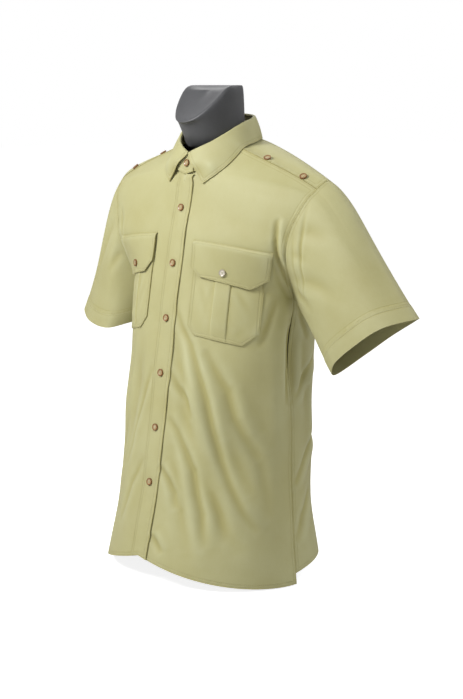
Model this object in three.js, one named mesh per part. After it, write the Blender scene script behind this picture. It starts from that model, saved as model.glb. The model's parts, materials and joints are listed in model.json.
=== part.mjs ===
// A short-sleeved military shirt on a limbless dress form.
// Millimetres, +Z up. The front faces -Y and the wearer's left is +X.
// The origin is the middle of the dress form's flat base.
import * as THREE from 'three';

// Cloth
const WALL = 1.5;
const SEAM_GAP = 0.3;
const LAYER = WALL + SEAM_GAP;

// Front opening
const BAND_HALF_WIDTH = 19.5;
const LEFT_FRONT_EDGE = -12;
const RIGHT_FRONT_EDGE = 13;
const FRONT_BUTTON_HEIGHTS = [600, 512, 424, 336, 248, 160];

// Breast pockets, by distance along the cloth from the centre front.
// Each has the distances of its inner and outer edge at some levels, and of the middle of its pleat.
// The flaps lie over the upper levels, wider than the pockets and leaning out towards the armholes.
const POCKETS = {
  left: { edges: [[4.75, 47, 173], [5, 43, 179], [6, 42, 193]], pleat: 106 },
  right: { edges: [[4.75, 57, 173], [5, 55, 179], [6, 55, 190]], pleat: 114 },
};
const INNER_CUT = 18;
const OUTER_CUT = 26;
const BESIDE_CUT = 12;
const PLEAT_WIDTH = 26;
const PLEAT_SIDE = 1.2;
const PLEAT_RISE = 1.5;

// Buttons
const BUTTON_RADIUS = 5.75;
const BUTTON_SEAT = 0.7;
const SHOULDER_BUTTONS_X = [127, 204];
// Part of the way from the yoke's front edge to its next row
const SHOULDER_BUTTON_BACK = 0.3;
const FLAP_BUTTON_HEIGHT = 503;
const COLLAR_BUTTON_HEIGHT = 671;

const BUTTON_SIDES = 12;

// Girth of one quarter of the torso, which turns a fold's place round the body into millimetres
const QUARTER_GIRTH = 220;

const CLOTH_COLOUR = 0xc4bf8e;
const FORM_COLOUR = 0x4c4c50;
const BUTTON_COLOUR = 0xa5714a;

// Each row of a panel is one curve from the centre of the body to the side seam or the armhole.
// Columns: centre end x y z, its handle x y z, side handle x y z, side end x y z.
// The handles are offsets from their own ends.
const FRONT_ROWS = [
  [0, -177, 42, 110, -3, -26, 4, -104, -3, 190, -5, 2],
  [0, -157, 130, 104, 0, -18, 3, -90, -2, 180, -3, 100],
  [0, -143, 215, 96, 0, -12, 2, -79, -2, 172, 0, 195],
  [0, -130, 303, 98, 0, -8, 2, -80, 0, 168, 2, 288],
  [0, -116, 408, 99, 0, -6, 8, -72, 0, 170, 2, 380],
  [0, -102, 500, 103, 2, -6, 20, -56, 6, 172, 3, 462],
  [0, -91, 560, 96, 2, -8, -34, -30, 6, 201, -43, 529],
  [0, -80, 606, 88, 2, -6, -42, -24, 8, 211, -45, 570],
  [0, -75, 637, 80, 4, -2, -48, -20, 14, 224, -36, 604],
  [0, -72, 653, 78, 8, 2, -50, -16, 18, 231, -25, 624],
  [45, -59, 667, 55, 12, -4, -50, -10, 19, 234, -18, 631],
  [66, -22, 699, 44, 2, -17, -51, -4, 26, 236, -11, 637],
];
const BACK_ROWS = [
  [0, 126, 30, 102, 2, 8, 4, 92, 24, 188.3, -4.7, 19],
  [0, 115, 118, 96, 2, 2, 3, 78, 8, 180, -3, 100],
  [0, 111, 210, 92, 2, -2, 2, 70, 2, 172, 0, 195],
  [0, 117, 300, 97, 2, -4, 2, 78, 0, 168, 2, 288],
  [0, 125, 390, 98, 2, -4, 8, 84, 0, 170, 2, 380],
  [0, 130, 475, 98, 2, -4, 18, 76, 2, 172, 3, 462],
  [0, 129, 520, 98, 2, -4, -12, 52, 4, 192, 38, 498],
  [0, 122, 565, 98, 2, -4, -38, 32, 6, 207, 53, 541],
  [0, 112, 605, 92, 2, -2, -42, 22, 8, 216, 50, 580],
];
const YOKE_ROWS = [
  [66, -22, 699, 44, 2, -17, -51, -4, 26, 236, -11, 637],
  [64, 0, 703, 44, 3, -14, -50, 0, 25, 239, 1, 647],
  [60, 24, 705, 44, -4, -9, -49, 2, 23, 239, 12, 650],
  [42, 48, 708, 52, -10, -6, -48, 6, 23, 238, 22, 646],
  [0, 62, 709, 70, -6, -5, -50, 14, 25, 234, 33, 635],
  [0, 94, 658, 84, -2, 0, -50, 20, 22, 226, 44, 608],
  [0, 112, 605, 92, 2, -2, -42, 22, 8, 216, 50, 580],
];
const ARMPIT_ROW = 5;
const PIT_ROW = 9;
const COLUMNS = 14;
const EVEN_PART = COLUMNS - 2;

// Levels are row numbers, with fractions between rows
const BODY_LEVELS = [0, 0.33, 0.67, 1, 1.33, 1.67, 2, 2.33, 2.67, 3, 3.33, 3.67, 4, 4.18, 4.45, 4.75, 5];
const FRONT_LEVELS = [...BODY_LEVELS, 5.28, 5.55, 5.85, 6, 6.5, 7, 7.5, 8, 9, 10, 10.5, 11];
const BACK_LEVELS = [...BODY_LEVELS, 5.5, 6, 6.5, 7, 7.5, 8];
const YOKE_LEVELS = [0, 1, 2, 3, 4, 5, 6];
const POCKET_LEVELS = { bottom: 4, top: 5.85 };
const FLAP_LEVELS = { bottom: 5, top: 6 };
// Between these levels the columns shift to the pockets' edges, and above and below they are even
const COLUMN_SHIFT = { from: 3.2, to: 7 };

// Folds of the body cloth. Place round the body: 0 centre front, 1 left side, 2 centre back, -1 right.
// Columns: place and height of the upper end, place and height of the lower end, half width, depth.
// A negative depth is a trough and a positive one a ridge.
const BODY_FOLDS = [
  [0.10, 395, 0.30, 215, 13, -7],
  [0.30, 215, 0.62, 70, 12, -6],
  [0.20, 380, 0.44, 200, 15, 5],
  [0.52, 240, 0.70, 150, 13, -6],
  [0.15, 215, 0.33, 60, 12, -6],
  [0.22, 200, 0.42, 50, 13, 5],
  [1.00, 425, 1.02, 300, 11, -13],
  [0.86, 400, 0.90, 190, 17, 6],
  [1.10, 410, 1.22, 250, 14, -7],
  [1.20, 330, 1.34, 150, 16, 6],
  [-0.28, 370, -0.42, 180, 16, -6],
  [-0.55, 330, -0.66, 90, 18, 6],
  [-0.98, 420, -1.00, 300, 12, -10],
  [-1.14, 400, -1.24, 240, 15, -6],
  [1.62, 520, 1.50, 300, 18, -6],
  [-1.60, 500, -1.46, 280, 18, -6],
  [1.80, 300, 1.70, 60, 20, 6],
  [-1.82, 340, -1.66, 80, 20, -6],
];

// The sleeves, each from the armhole loop to a cuff loop of eight points that starts under the arm and goes
// up the front. The handles set how the cap leaves the shoulder and how the sleeve comes to the cuff.
// Fold columns: part of the way round and distance down the sleeve, for both ends, then half width and depth.
const SLEEVES = {
  left: {
    side: 1,
    cuff: [
      [280, -12, 354], [308, -43, 377], [354, -50, 409], [398, -36, 440],
      [428, 6, 453], [402, 36, 446], [352, 38, 418], [306, 24, 383],
    ],
    capHandle: [47, 0, -18],
    underHandle: [36, -4, -36],
    cuffTopHandle: [-109, 0, 114],
    cuffUnderHandle: [-36, 4, 36],
    folds: [
      [0.30, 12, 0.40, 120, 12, -4],
      [0.14, 24, 0.30, 170, 12, -4],
      [0.62, 24, 0.70, 130, 12, -4],
    ],
  },
  right: {
    side: -1,
    cuff: [
      [-216, -6, 388], [-246, -40, 376], [-290, -40, 379], [-332, -24, 388],
      [-367, 6, 399], [-346, 44, 394], [-296, 54, 382], [-246, 36, 382],
    ],
    capHandle: [-32, 0, -17],
    underHandle: [-16, -4, -28],
    cuffTopHandle: [58, 0, 104],
    cuffUnderHandle: [16, 4, 28],
    folds: [
      [0.28, 24, 0.36, 150, 12, -4],
      [0.60, 24, 0.66, 150, 12, -4],
    ],
  },
};
const SLEEVE_STEPS = 9;
const SLEEVE_LENGTH = 230;
const SLEEVE_GIRTH = 430;
const ARMHOLE_CENTRE = [205, 5, 557];
// A sleeve's wall starts square to the panel that it meets, where both face about the same way
const CAP_NORMAL_MATCH = 0.3;

// Collar. Angles go from the centre front round the wearer's left side, about a line through COLLAR_CENTRE_Y.
const COLLAR_CENTRE_Y = -6;
const COLLAR_RADIUS = 59.5;
// Columns: angle, height of the top edge
const COLLAR_TOP = [[0, 687], [38, 704], [76, 727], [95, 736], [117, 741], [142, 745], [180, 747]];
const STAND_STEPS = 30;
const STAND_UNDER_END = -10;
const STAND_OVER_END = 374;
const STAND_DROP = 2.8;
// Where the ends of the stand overlap, the over end lies this far out, and each end dips by as much
const STAND_OVERLAP_RISE = 2;
const STAND_RISE_ANGLES = { over: [325, 347], under: [2, 14] };
const STAND_PARTS = [0, 0.5, 1];
const COLLAR_BUTTON_OUT = 2.6;
// Columns: angle, radius and height of the fall's lower edge, from its point round to the back
const FALL_EDGE = [
  [31, 92, 640], [45, 91, 653], [60, 87, 670], [79, 81, 696],
  [90, 77, 700], [120, 73, 706], [150, 75, 704], [180, 79, 698],
];
const FALL_STEPS = 34;
const FALL_ROLL_START = 1.5;
const FALL_CLEARANCE = 4.8;
// Columns: radius past the stand, height over the top edge, of the rolled fold of the fall
const FALL_ROLL = [[-2.2, -1], [-0.4, 1.3], [2.4, 0.8], [4.6, -3]];
const FALL_LOWER_PARTS = [0.3, 0.65, 1];
const FALL_BOW = 2;

// Dress form. Columns: height, half width, front depth, back depth, middle y
const FORM_RINGS = [
  [0, 94, 80, 72, 0],
  [10, 124, 102, 88, 0],
  [34, 150, 122, 102, 0],
  [80, 163, 128, 106, 0],
  [160, 158, 116, 102, 0],
  [260, 146, 106, 96, 0],
  [350, 146, 100, 98, 0],
  [430, 152, 92, 104, 0],
  [500, 160, 84, 108, 2],
  [560, 170, 74, 98, 6],
  [605, 182, 60, 80, 10],
  [640, 189, 46, 54, 12],
  [658, 188, 35, 38, 13],
  [668, 181, 30, 32, 13],
  [674, 163, 28, 30, 13],
  [681, 140, 29, 30, 12],
  [687, 117, 31, 30, 10],
  [692, 86, 38, 36, 4],
  [697, 60, 44, 42, -4],
  [712, 54, 50, 46, -9],
  [726, 54, 56, 48, -12],
  [738, 54, 60, 50, -15],
];
const FORM_SIDES = 32;
const SHOULDERS = { from: 600, to: 705 };
const FORM_SEAT = 0.6;

// The neck ends in a dished cap that slopes to the front from a crest
const NECK = { halfWidth: 54, front: 62, back: 54, middle: -20, top: 794, crest: -27, slope: 1.1 };
// Columns: part of the neck's section, depth under the cap's rim
const CAP_RINGS = [[1, 0], [0.93, -1.5], [0.75, 3], [0.4, 6]];

const vector = (x, y, z) => new THREE.Vector3(x, y, z);
const mix = (from, to, part) => from + (to - from) * part;
const clamp01 = (value) => Math.min(Math.max(value, 0), 1);
const smooth = (value) => clamp01(value) ** 2 * (3 - 2 * clamp01(value));

// A smooth curve through four even values, from the second to the third
function through(a, b, c, d, t) {
  const leave = (c - a) / 2;
  const arrive = (d - b) / 2;
  const bend = 3 * (c - b) - 2 * leave - arrive;
  const twist = leave + arrive - 2 * (c - b);
  return b + leave * t + bend * t * t + twist * t * t * t;
}

// One row of a panel at a level between its table rows. The side end turns a corner at the break row.
function rowAt(rows, level, breakRow) {
  const last = rows.length - 1;
  const lower = Math.min(Math.floor(level), last - 1);
  const sideFrom = breakRow !== undefined && lower >= breakRow ? breakRow : 0;
  const sideTo = breakRow !== undefined && lower < breakRow ? breakRow : last;
  return rows[0].map((_, column) => {
    const from = column < 6 ? 0 : sideFrom;
    const to = column < 6 ? last : sideTo;
    const near = [-1, 0, 1, 2].map((step) => rows[Math.min(Math.max(lower + step, from), to)][column]);
    return through(...near, level - lower);
  });
}

function rowCurve(row, side) {
  const [cx, cy, cz, hx, hy, hz, kx, ky, kz, sx, sy, sz] = row;
  const curve = new THREE.CubicBezierCurve3(
    vector(side * cx, cy, cz),
    vector(side * (cx + hx), cy + hy, cz + hz),
    vector(side * (sx + kx), sy + ky, sz + kz),
    vector(side * sx, sy, sz),
  );
  curve.arcLengthDivisions = 60;
  return curve;
}

// How far the folds push the cloth out at a place and height
function foldLift(folds, place, height, placeScale) {
  let lift = 0;
  for (const [place0, height0, place1, height1, halfWidth, depth] of folds) {
    const along = [(place1 - place0) * placeScale, height1 - height0];
    const away = [(place - place0) * placeScale, height - height0];
    const length = Math.hypot(...along);
    const part = (along[0] * away[0] + along[1] * away[1]) / (length * length);
    const onLine = clamp01(part);
    const distance = Math.hypot(away[0] - along[0] * onLine, away[1] - along[1] * onLine);
    const taper = 0.25 + 0.75 * Math.sin(Math.PI * onLine);
    lift += depth * taper * Math.exp(-((distance / halfWidth) ** 2));
  }
  return lift;
}

// Distances along the cloth of a front's columns. The pockets and the placket have their own columns.
function pocketColumns(level, { edges, pleat }) {
  const upper = Math.max(edges.findIndex(([at]) => at >= level), 1);
  const [low, high] = level > edges[edges.length - 1][0] ? edges.slice(-2) : edges.slice(upper - 1, upper + 1);
  const part = clamp01((level - low[0]) / (high[0] - low[0]));
  const inner = mix(low[1], high[1], part);
  const outer = mix(low[2], high[2], part);
  return [
    inner,
    inner + INNER_CUT,
    inner + INNER_CUT + BESIDE_CUT,
    pleat - PLEAT_WIDTH / 2 - PLEAT_SIDE,
    pleat - PLEAT_WIDTH / 2,
    pleat + PLEAT_WIDTH / 2,
    pleat + PLEAT_WIDTH / 2 + PLEAT_SIDE,
    outer - OUTER_CUT - BESIDE_CUT,
    outer - OUTER_CUT,
    outer,
  ];
}

const FIRST_POCKET_COLUMN = 3;
const POCKET_COLUMN_COUNT = 10;

const evenColumns = (level, length) => (
  Array.from({ length: COLUMNS + 1 }, (_, column) => (length * column) / COLUMNS)
);

function frontColumns(level, length, side) {
  if (level > PIT_ROW) return evenColumns(level, length);
  const edge = side > 0 ? LEFT_FRONT_EDGE : RIGHT_FRONT_EDGE;
  const second = side > 0 ? 0 : mix(RIGHT_FRONT_EDGE, BAND_HALF_WIDTH, 0.5);
  const pocketPart = level < POCKET_LEVELS.bottom
    ? smooth((level - COLUMN_SHIFT.from) / (POCKET_LEVELS.bottom - COLUMN_SHIFT.from))
    : smooth((COLUMN_SHIFT.to - level) / (COLUMN_SHIFT.to - FLAP_LEVELS.top));
  const columns = pocketColumns(level, side > 0 ? POCKETS.left : POCKETS.right);
  const afterPocket = mix(columns[columns.length - 1], length, 0.5);
  const pocket = [...columns, afterPocket, length];
  const even = pocket.map((_, n) => mix(BAND_HALF_WIDTH, length, (n + 1) / EVEN_PART));
  return [edge, second, BAND_HALF_WIDTH, ...even.map((distance, n) => mix(distance, pocket[n], pocketPart))];
}

// A point of a row by its distance from the centre end, on past the centre where the distance is negative
function cloth(curve, length, distance, side, outward, placeOf) {
  const part = Math.min(Math.abs(distance) / length, 1);
  const point = curve.getPointAt(part);
  const tangent = curve.getTangentAt(part);
  const away = tangent.cross(vector(0, 0, side * outward)).normalize();
  if (distance < 0) {
    point.x = -point.x;
    away.x = -away.x;
  }
  const lift = foldLift(BODY_FOLDS, placeOf(distance / length), point.z, QUARTER_GIRTH);
  return point.addScaledVector(away, lift);
}

function panelGrid(rows, levels, columnsAt, { side, outward, placeOf, breakRow }) {
  const points = levels.map((level) => {
    const curve = rowCurve(rowAt(rows, level, breakRow), side);
    const length = curve.getLength();
    return columnsAt(level, length, side).map((distance) => (
      cloth(curve, length, distance, side, outward, placeOf)
    ));
  });
  return { points, flip: side * outward < 0 };
}

const frontPlace = (side) => (part) => side * part;
const backPlace = (side) => (part) => side * (2 - part);
const frontGrid = (side) => panelGrid(FRONT_ROWS, FRONT_LEVELS, frontColumns, {
  side, outward: 1, placeOf: frontPlace(side), breakRow: ARMPIT_ROW,
});
const backGrid = (side) => panelGrid(BACK_ROWS, BACK_LEVELS, evenColumns, {
  side, outward: -1, placeOf: backPlace(side), breakRow: ARMPIT_ROW,
});
// The yoke lies above the folds, so it takes the front's places
const yokeGrid = (side) => panelGrid(YOKE_ROWS, YOKE_LEVELS, evenColumns, {
  side, outward: 1, placeOf: frontPlace(side),
});

// Triangles of one cell, seen from outside: a lower left, b lower right, c upper right, d upper left
function cellTriangles(a, b, c, d, flip, cut) {
  let triangles = [[a, b, c], [a, c, d]];
  if (cut === 'first') triangles = [[b, c, d]];
  if (cut === 'last') triangles = [[a, c, d]];
  return flip ? triangles.map((triangle) => triangle.toReversed()) : triangles;
}

function cutOf(column, row, lastColumn, cutCorners) {
  if (!cutCorners || row > 0) return null;
  if (column === 0) return 'first';
  return column === lastColumn ? 'last' : null;
}

function gridTriangles(grid, cutCorners = false) {
  const { points, flip } = grid;
  const triangles = [];
  for (let row = 0; row < points.length - 1; row += 1) {
    const lastColumn = points[row].length - 2;
    for (let column = 0; column <= lastColumn; column += 1) {
      const corners = [[row, column], [row, column + 1], [row + 1, column + 1], [row + 1, column]];
      triangles.push(...cellTriangles(...corners, flip, cutOf(column, row, lastColumn, cutCorners)));
    }
  }
  return triangles;
}

const keyOf = (point) => [point.x, point.y, point.z].map((value) => Math.round(value * 500)).join();

// Normals shared by every panel that meets at a point, so that the walls beside a seam stay parallel
function addNormals(grids) {
  const sums = new Map();
  for (const { points, flip } of grids) {
    for (const triangle of gridTriangles({ points, flip })) {
      const [a, b, c] = triangle.map(([row, column]) => points[row][column]);
      const normal = b.clone().sub(a).cross(c.clone().sub(a));
      for (const corner of [a, b, c]) {
        const key = keyOf(corner);
        sums.set(key, (sums.get(key) ?? vector(0, 0, 0)).add(normal));
      }
    }
  }
  for (const grid of grids) {
    grid.normals = grid.points.map((row) => row.map((point) => sums.get(keyOf(point)).clone().normalize()));
  }
}

// Moves an edge of a grid back by half a seam gap
function trim(grid, edge) {
  const move = (point, towards) => {
    const step = towards.clone().sub(point).setLength(SEAM_GAP / 2);
    point.add(step);
  };
  const { points } = grid;
  const last = points.length - 1;
  if (edge === 'side') points.forEach((row) => move(row[row.length - 1], row[row.length - 2].clone()));
  if (edge === 'top') points[last].forEach((point, column) => move(point, points[last - 1][column].clone()));
  if (edge === 'bottom') points[0].forEach((point, column) => move(point, points[1][column].clone()));
}

const flat = () => 0;
const IN_LINE = { from: -WALL, to: 0 };
const ON_PANEL = { from: SEAM_GAP, to: LAYER };

// A closed wall between two distances from the grids' points, along their normals
function wallGeometry(grids, { from, to }, { rise = flat, outerRise = flat, cutCorners = false } = {}) {
  const indexOf = new Map();
  const inner = [];
  const outer = [];
  const indexAt = (grid, [row, column]) => {
    const point = grid.points[row][column];
    const key = keyOf(point);
    if (!indexOf.has(key)) {
      const normal = grid.normals[row][column];
      const lift = rise(row, column);
      indexOf.set(key, inner.length);
      inner.push(point.clone().addScaledVector(normal, from + lift));
      outer.push(point.clone().addScaledVector(normal, to + lift + outerRise(row, column)));
    }
    return indexOf.get(key);
  };
  const faces = grids.flatMap((grid) => (
    gridTriangles(grid, cutCorners).map((triangle) => triangle.map((corner) => indexAt(grid, corner)))
  )).filter(([a, b, c]) => a !== b && b !== c && c !== a);
  const count = inner.length;
  const edges = new Set(faces.flatMap(([a, b, c]) => [`${a},${b}`, `${b},${c}`, `${c},${a}`]));
  const index = [];
  for (const [a, b, c] of faces) {
    index.push(a, b, c, c + count, b + count, a + count);
    for (const [p, q] of [[a, b], [b, c], [c, a]]) {
      if (!edges.has(`${q},${p}`)) index.push(q, p, p + count, q, p + count, q + count);
    }
  }
  const geometry = new THREE.BufferGeometry();
  const positions = [...outer, ...inner].flatMap((point) => point.toArray());
  geometry.setAttribute('position', new THREE.Float32BufferAttribute(positions, 3));
  geometry.setIndex(index);
  geometry.computeVertexNormals();
  return geometry;
}

const group = new THREE.Group();

function addPiece(name, geometry, color, roughness = 0.9) {
  const material = new THREE.MeshStandardMaterial({ color, roughness, metalness: 0 });
  const mesh = new THREE.Mesh(geometry, material);
  mesh.name = name;
  group.add(mesh);
  return mesh;
}

// Body panels
const fronts = { left: frontGrid(1), right: frontGrid(-1) };
const backHalves = { left: backGrid(1), right: backGrid(-1) };
const yokeHalves = { left: yokeGrid(1), right: yokeGrid(-1) };
addNormals([...Object.values(fronts), ...Object.values(backHalves), ...Object.values(yokeHalves)]);

// Points and normals round an armhole, from under the arm up the front, over the shoulder and down the back
function armholeLoop(name) {
  const take = (grid, from, to) => {
    const last = grid.points[0].length - 1;
    return grid.points.map((row, n) => [row[last].clone(), grid.normals[n][last].clone()]).slice(from, to);
  };
  const frontFrom = FRONT_LEVELS.indexOf(ARMPIT_ROW);
  const backFrom = BACK_LEVELS.indexOf(ARMPIT_ROW);
  return [
    ...take(fronts[name], frontFrom, FRONT_LEVELS.length),
    ...take(yokeHalves[name], 1, YOKE_LEVELS.length),
    ...take(backHalves[name], backFrom, BACK_LEVELS.length - 1).toReversed(),
  ];
}

function sleeveGrid(name) {
  const sleeve = SLEEVES[name];
  const loop = armholeLoop(name);
  const rounds = [0];
  for (let n = 1; n < loop.length; n += 1) {
    rounds.push(rounds[n - 1] + loop[n][0].distanceTo(loop[n - 1][0]));
  }
  const cuff = new THREE.CatmullRomCurve3(sleeve.cuff.map((point) => vector(...point)), true);
  const lines = loop.map(([seam], n) => {
    const round = rounds[n] / rounds[loop.length - 1];
    const upper = (1 - Math.cos(2 * Math.PI * round)) / 2;
    const end = cuff.getPointAt(round % 1);
    const leave = vector(...sleeve.underHandle).lerp(vector(...sleeve.capHandle), upper);
    const arrive = vector(...sleeve.cuffUnderHandle).lerp(vector(...sleeve.cuffTopHandle), upper);
    const line = new THREE.CubicBezierCurve3(seam, seam.clone().add(leave), end.clone().add(arrive), end);
    return { line, round };
  });
  const [across, ...rest] = ARMHOLE_CENTRE;
  const start = vector(across * sleeve.side, ...rest);
  const cuffMiddle = vector(...sleeve.cuff[0]).add(vector(...sleeve.cuff[4])).divideScalar(2);
  const axis = cuffMiddle.sub(start).normalize();
  const points = Array.from({ length: SLEEVE_STEPS + 1 }, (_, step) => lines.map(({ line, round }) => {
    const part = step / SLEEVE_STEPS;
    const point = line.getPoint(part);
    const middle = line.v0.clone().lerp(line.v3, part);
    const centre = start.clone().addScaledVector(axis, middle.sub(start).dot(axis));
    const away = point.clone().sub(centre).normalize();
    const lift = foldLift(sleeve.folds, round, part * SLEEVE_LENGTH, SLEEVE_GIRTH);
    return point.addScaledVector(away, lift * Math.min(1, step / 2));
  }));
  points.forEach((row) => row[row.length - 1].copy(row[0]));
  return { points, flip: sleeve.side > 0, armhole: loop };
}

const sleeves = { left: sleeveGrid('left'), right: sleeveGrid('right') };
addNormals([sleeves.left]);
addNormals([sleeves.right]);
for (const grid of Object.values(sleeves)) {
  grid.normals[0].forEach((normal, column) => {
    const panelNormal = grid.armhole[column][1];
    if (normal.dot(panelNormal) > CAP_NORMAL_MATCH) normal.copy(panelNormal);
  });
  trim(grid, 'bottom');
}

for (const grid of Object.values(fronts)) {
  trim(grid, 'side');
  trim(grid, 'top');
}
for (const grid of Object.values(backHalves)) {
  trim(grid, 'side');
  trim(grid, 'top');
}
for (const grid of Object.values(yokeHalves)) {
  trim(grid, 'side');
  trim(grid, 'top');
  trim(grid, 'bottom');
}

// The part of a front's own points that a pocket or flap lies on
function pocketBlock(front, levels) {
  const rows = [FRONT_LEVELS.indexOf(levels.bottom), FRONT_LEVELS.indexOf(levels.top) + 1];
  const columns = [FIRST_POCKET_COLUMN, FIRST_POCKET_COLUMN + POCKET_COLUMN_COUNT];
  const cut = (table) => table.slice(...rows).map((row) => row.slice(...columns));
  return { points: cut(front.points), normals: cut(front.normals), flip: front.flip };
}

// The placket band crosses from the right front to the left one
function bandGrid() {
  const { left, right } = fronts;
  const rows = FRONT_LEVELS.indexOf(PIT_ROW) + 1;
  const across = (table) => (row) => [
    right[table][row][2],
    right[table][row][0].clone().lerp(left[table][row][0], 0.5),
    left[table][row][1],
    left[table][row][2],
  ];
  const rowNumbers = Array.from({ length: rows }, (_, row) => row);
  const build = (table) => rowNumbers.map(across(table));
  return { points: build('points'), normals: build('normals'), flip: false };
}

const band = bandGrid();
const PLEAT_COLUMNS = [4, 5];

// The pleat is a second thickness on the pocket's outer face
function pocketGeometry(front) {
  const outerRise = (row, column) => (PLEAT_COLUMNS.includes(column) ? PLEAT_RISE : 0);
  return wallGeometry([pocketBlock(front, POCKET_LEVELS)], ON_PANEL, { outerRise, cutCorners: true });
}

// The flap is sewn to the front along its top and lies on the pocket and its pleat below
function flapGeometry(front) {
  const grid = pocketBlock(front, FLAP_LEVELS);
  const topRow = grid.points.length - 1;
  const rise = (row, column) => {
    if (row === topRow) return 0;
    return LAYER + (PLEAT_COLUMNS.includes(column) ? PLEAT_RISE : 0);
  };
  return wallGeometry([grid], ON_PANEL, { rise, cutCorners: true });
}

// Point and normal at a height on a line of a grid's points, as [point, normal] pairs from low to high
function atHeight(line, height) {
  const upper = line.findIndex(([point]) => point.z >= height);
  const [low, high] = [line[upper - 1], line[upper]];
  const part = (height - low[0].z) / (high[0].z - low[0].z);
  return [low[0].clone().lerp(high[0], part), low[1].clone().lerp(high[1], part).normalize()];
}

const gridLine = (grid, column) => grid.points.map((row, n) => [row[column], grid.normals[n][column]]);

// Collar
const degrees = (angle) => (angle * Math.PI) / 180;
const collarPoint = (angle, radius, height) => (
  vector(radius * Math.sin(degrees(angle)), COLLAR_CENTRE_Y - radius * Math.cos(degrees(angle)), height)
);

// A value from a table whose first column is an angle up to 180, alike on both sides
function byAngle(table, angle, column) {
  const round = Math.abs(((angle + 540) % 360) - 180);
  const upper = Math.max(1, table.findIndex(([at]) => at >= round - 1e-9));
  const [low, high] = [table[upper - 1], table[upper]];
  const part = clamp01((round - low[0]) / (high[0] - low[0]));
  return mix(low[column], high[column], part);
}

// The neckline, as a table of angle, radius and height
const NECKLINE = [
  ...fronts.left.points.slice(FRONT_LEVELS.indexOf(PIT_ROW)).map((row, n) => row[n === 0 ? 1 : 0]),
  ...yokeHalves.left.points.slice(1, 5).map((row) => row[0]),
].map(({ x, y, z }) => {
  const fromCentre = [Math.abs(x), COLLAR_CENTRE_Y - y];
  return [(Math.atan2(...fromCentre) * 180) / Math.PI, Math.hypot(...fromCentre), z];
});

// The stand's over end lies outside its under end at the centre front
function standGrid() {
  const turn = STAND_OVER_END - STAND_UNDER_END;
  const steps = Array.from({ length: STAND_STEPS + 1 }, (_, n) => n / STAND_STEPS);
  const angles = steps.map((step) => STAND_UNDER_END + turn * step);
  const [overFrom, overTo] = STAND_RISE_ANGLES.over;
  const [underTo, underFrom] = STAND_RISE_ANGLES.under;
  const ring = (part) => angles.map((angle) => {
    const over = smooth((angle - overFrom) / (overTo - overFrom)) * STAND_OVERLAP_RISE;
    const under = smooth((underFrom - angle) / (underFrom - underTo)) * STAND_OVERLAP_RISE;
    const baseRadius = byAngle(NECKLINE, angle, 1) - SEAM_GAP;
    const baseHeight = byAngle(NECKLINE, angle, 2) + 2 * SEAM_GAP;
    const top = byAngle(COLLAR_TOP, angle, 1) - STAND_DROP - over - under;
    return collarPoint(angle, mix(baseRadius, COLLAR_RADIUS, part) + over, mix(baseHeight, top, part));
  });
  return { points: STAND_PARTS.map(ring), flip: false };
}

const bodyCloth = [];
const downward = new THREE.Raycaster();
function lookDown(x, y) {
  downward.set(vector(x, y, 1000), vector(0, 0, -1));
  return downward.intersectObjects(bodyCloth)[0];
}

function clothHeight(x, y) {
  const hit = lookDown(x, y);
  return hit ? hit.point.z : -Infinity;
}

// The fall rolls over the stand and comes down to its lower edge, just over the cloth
function fallGrid() {
  const [tip] = FALL_EDGE[0];
  const steps = Array.from({ length: FALL_STEPS + 1 }, (_, n) => n / FALL_STEPS);
  const rolls = FALL_ROLL.map(([out, up]) => steps.map((step) => {
    const angle = mix(FALL_ROLL_START, 360 - FALL_ROLL_START, step);
    return collarPoint(angle, COLLAR_RADIUS + out, byAngle(COLLAR_TOP, angle, 1) + up);
  }));
  const upper = rolls[rolls.length - 1];
  const lowers = FALL_LOWER_PARTS.map((part) => steps.map((step, n) => {
    const angle = mix(tip, 360 - tip, step);
    const edge = collarPoint(angle, byAngle(FALL_EDGE, angle, 1), 0);
    edge.z = byAngle(FALL_EDGE, angle, 2);
    const point = upper[n].clone().lerp(edge, part);
    const bow = FALL_BOW * Math.sin(Math.PI * part);
    point.add(vector(point.x, point.y - COLLAR_CENTRE_Y, 0).setLength(bow));
    point.z = Math.max(point.z, clothHeight(point.x, point.y) + FALL_CLEARANCE);
    return point;
  }));
  return { points: [...rolls, ...lowers], flip: true };
}

function oval(halfWidth, front, back, middle, heightAt) {
  return Array.from({ length: FORM_SIDES }, (_, n) => {
    const angle = (2 * Math.PI * n) / FORM_SIDES;
    const depth = Math.cos(angle) > 0 ? front : back;
    const point = vector(halfWidth * Math.sin(angle), middle - depth * Math.cos(angle), 0);
    point.z = heightAt(point);
    return point;
  });
}

// The form's shoulders lie just under the cloth
function underCloth(height) {
  return ({ x, y }) => {
    if (height < SHOULDERS.from || height > SHOULDERS.to) return height;
    const hit = lookDown(x, y);
    if (!hit) return height;
    return Math.min(height, hit.point.z - (WALL + FORM_SEAT) / hit.face.normal.z);
  };
}

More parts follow.
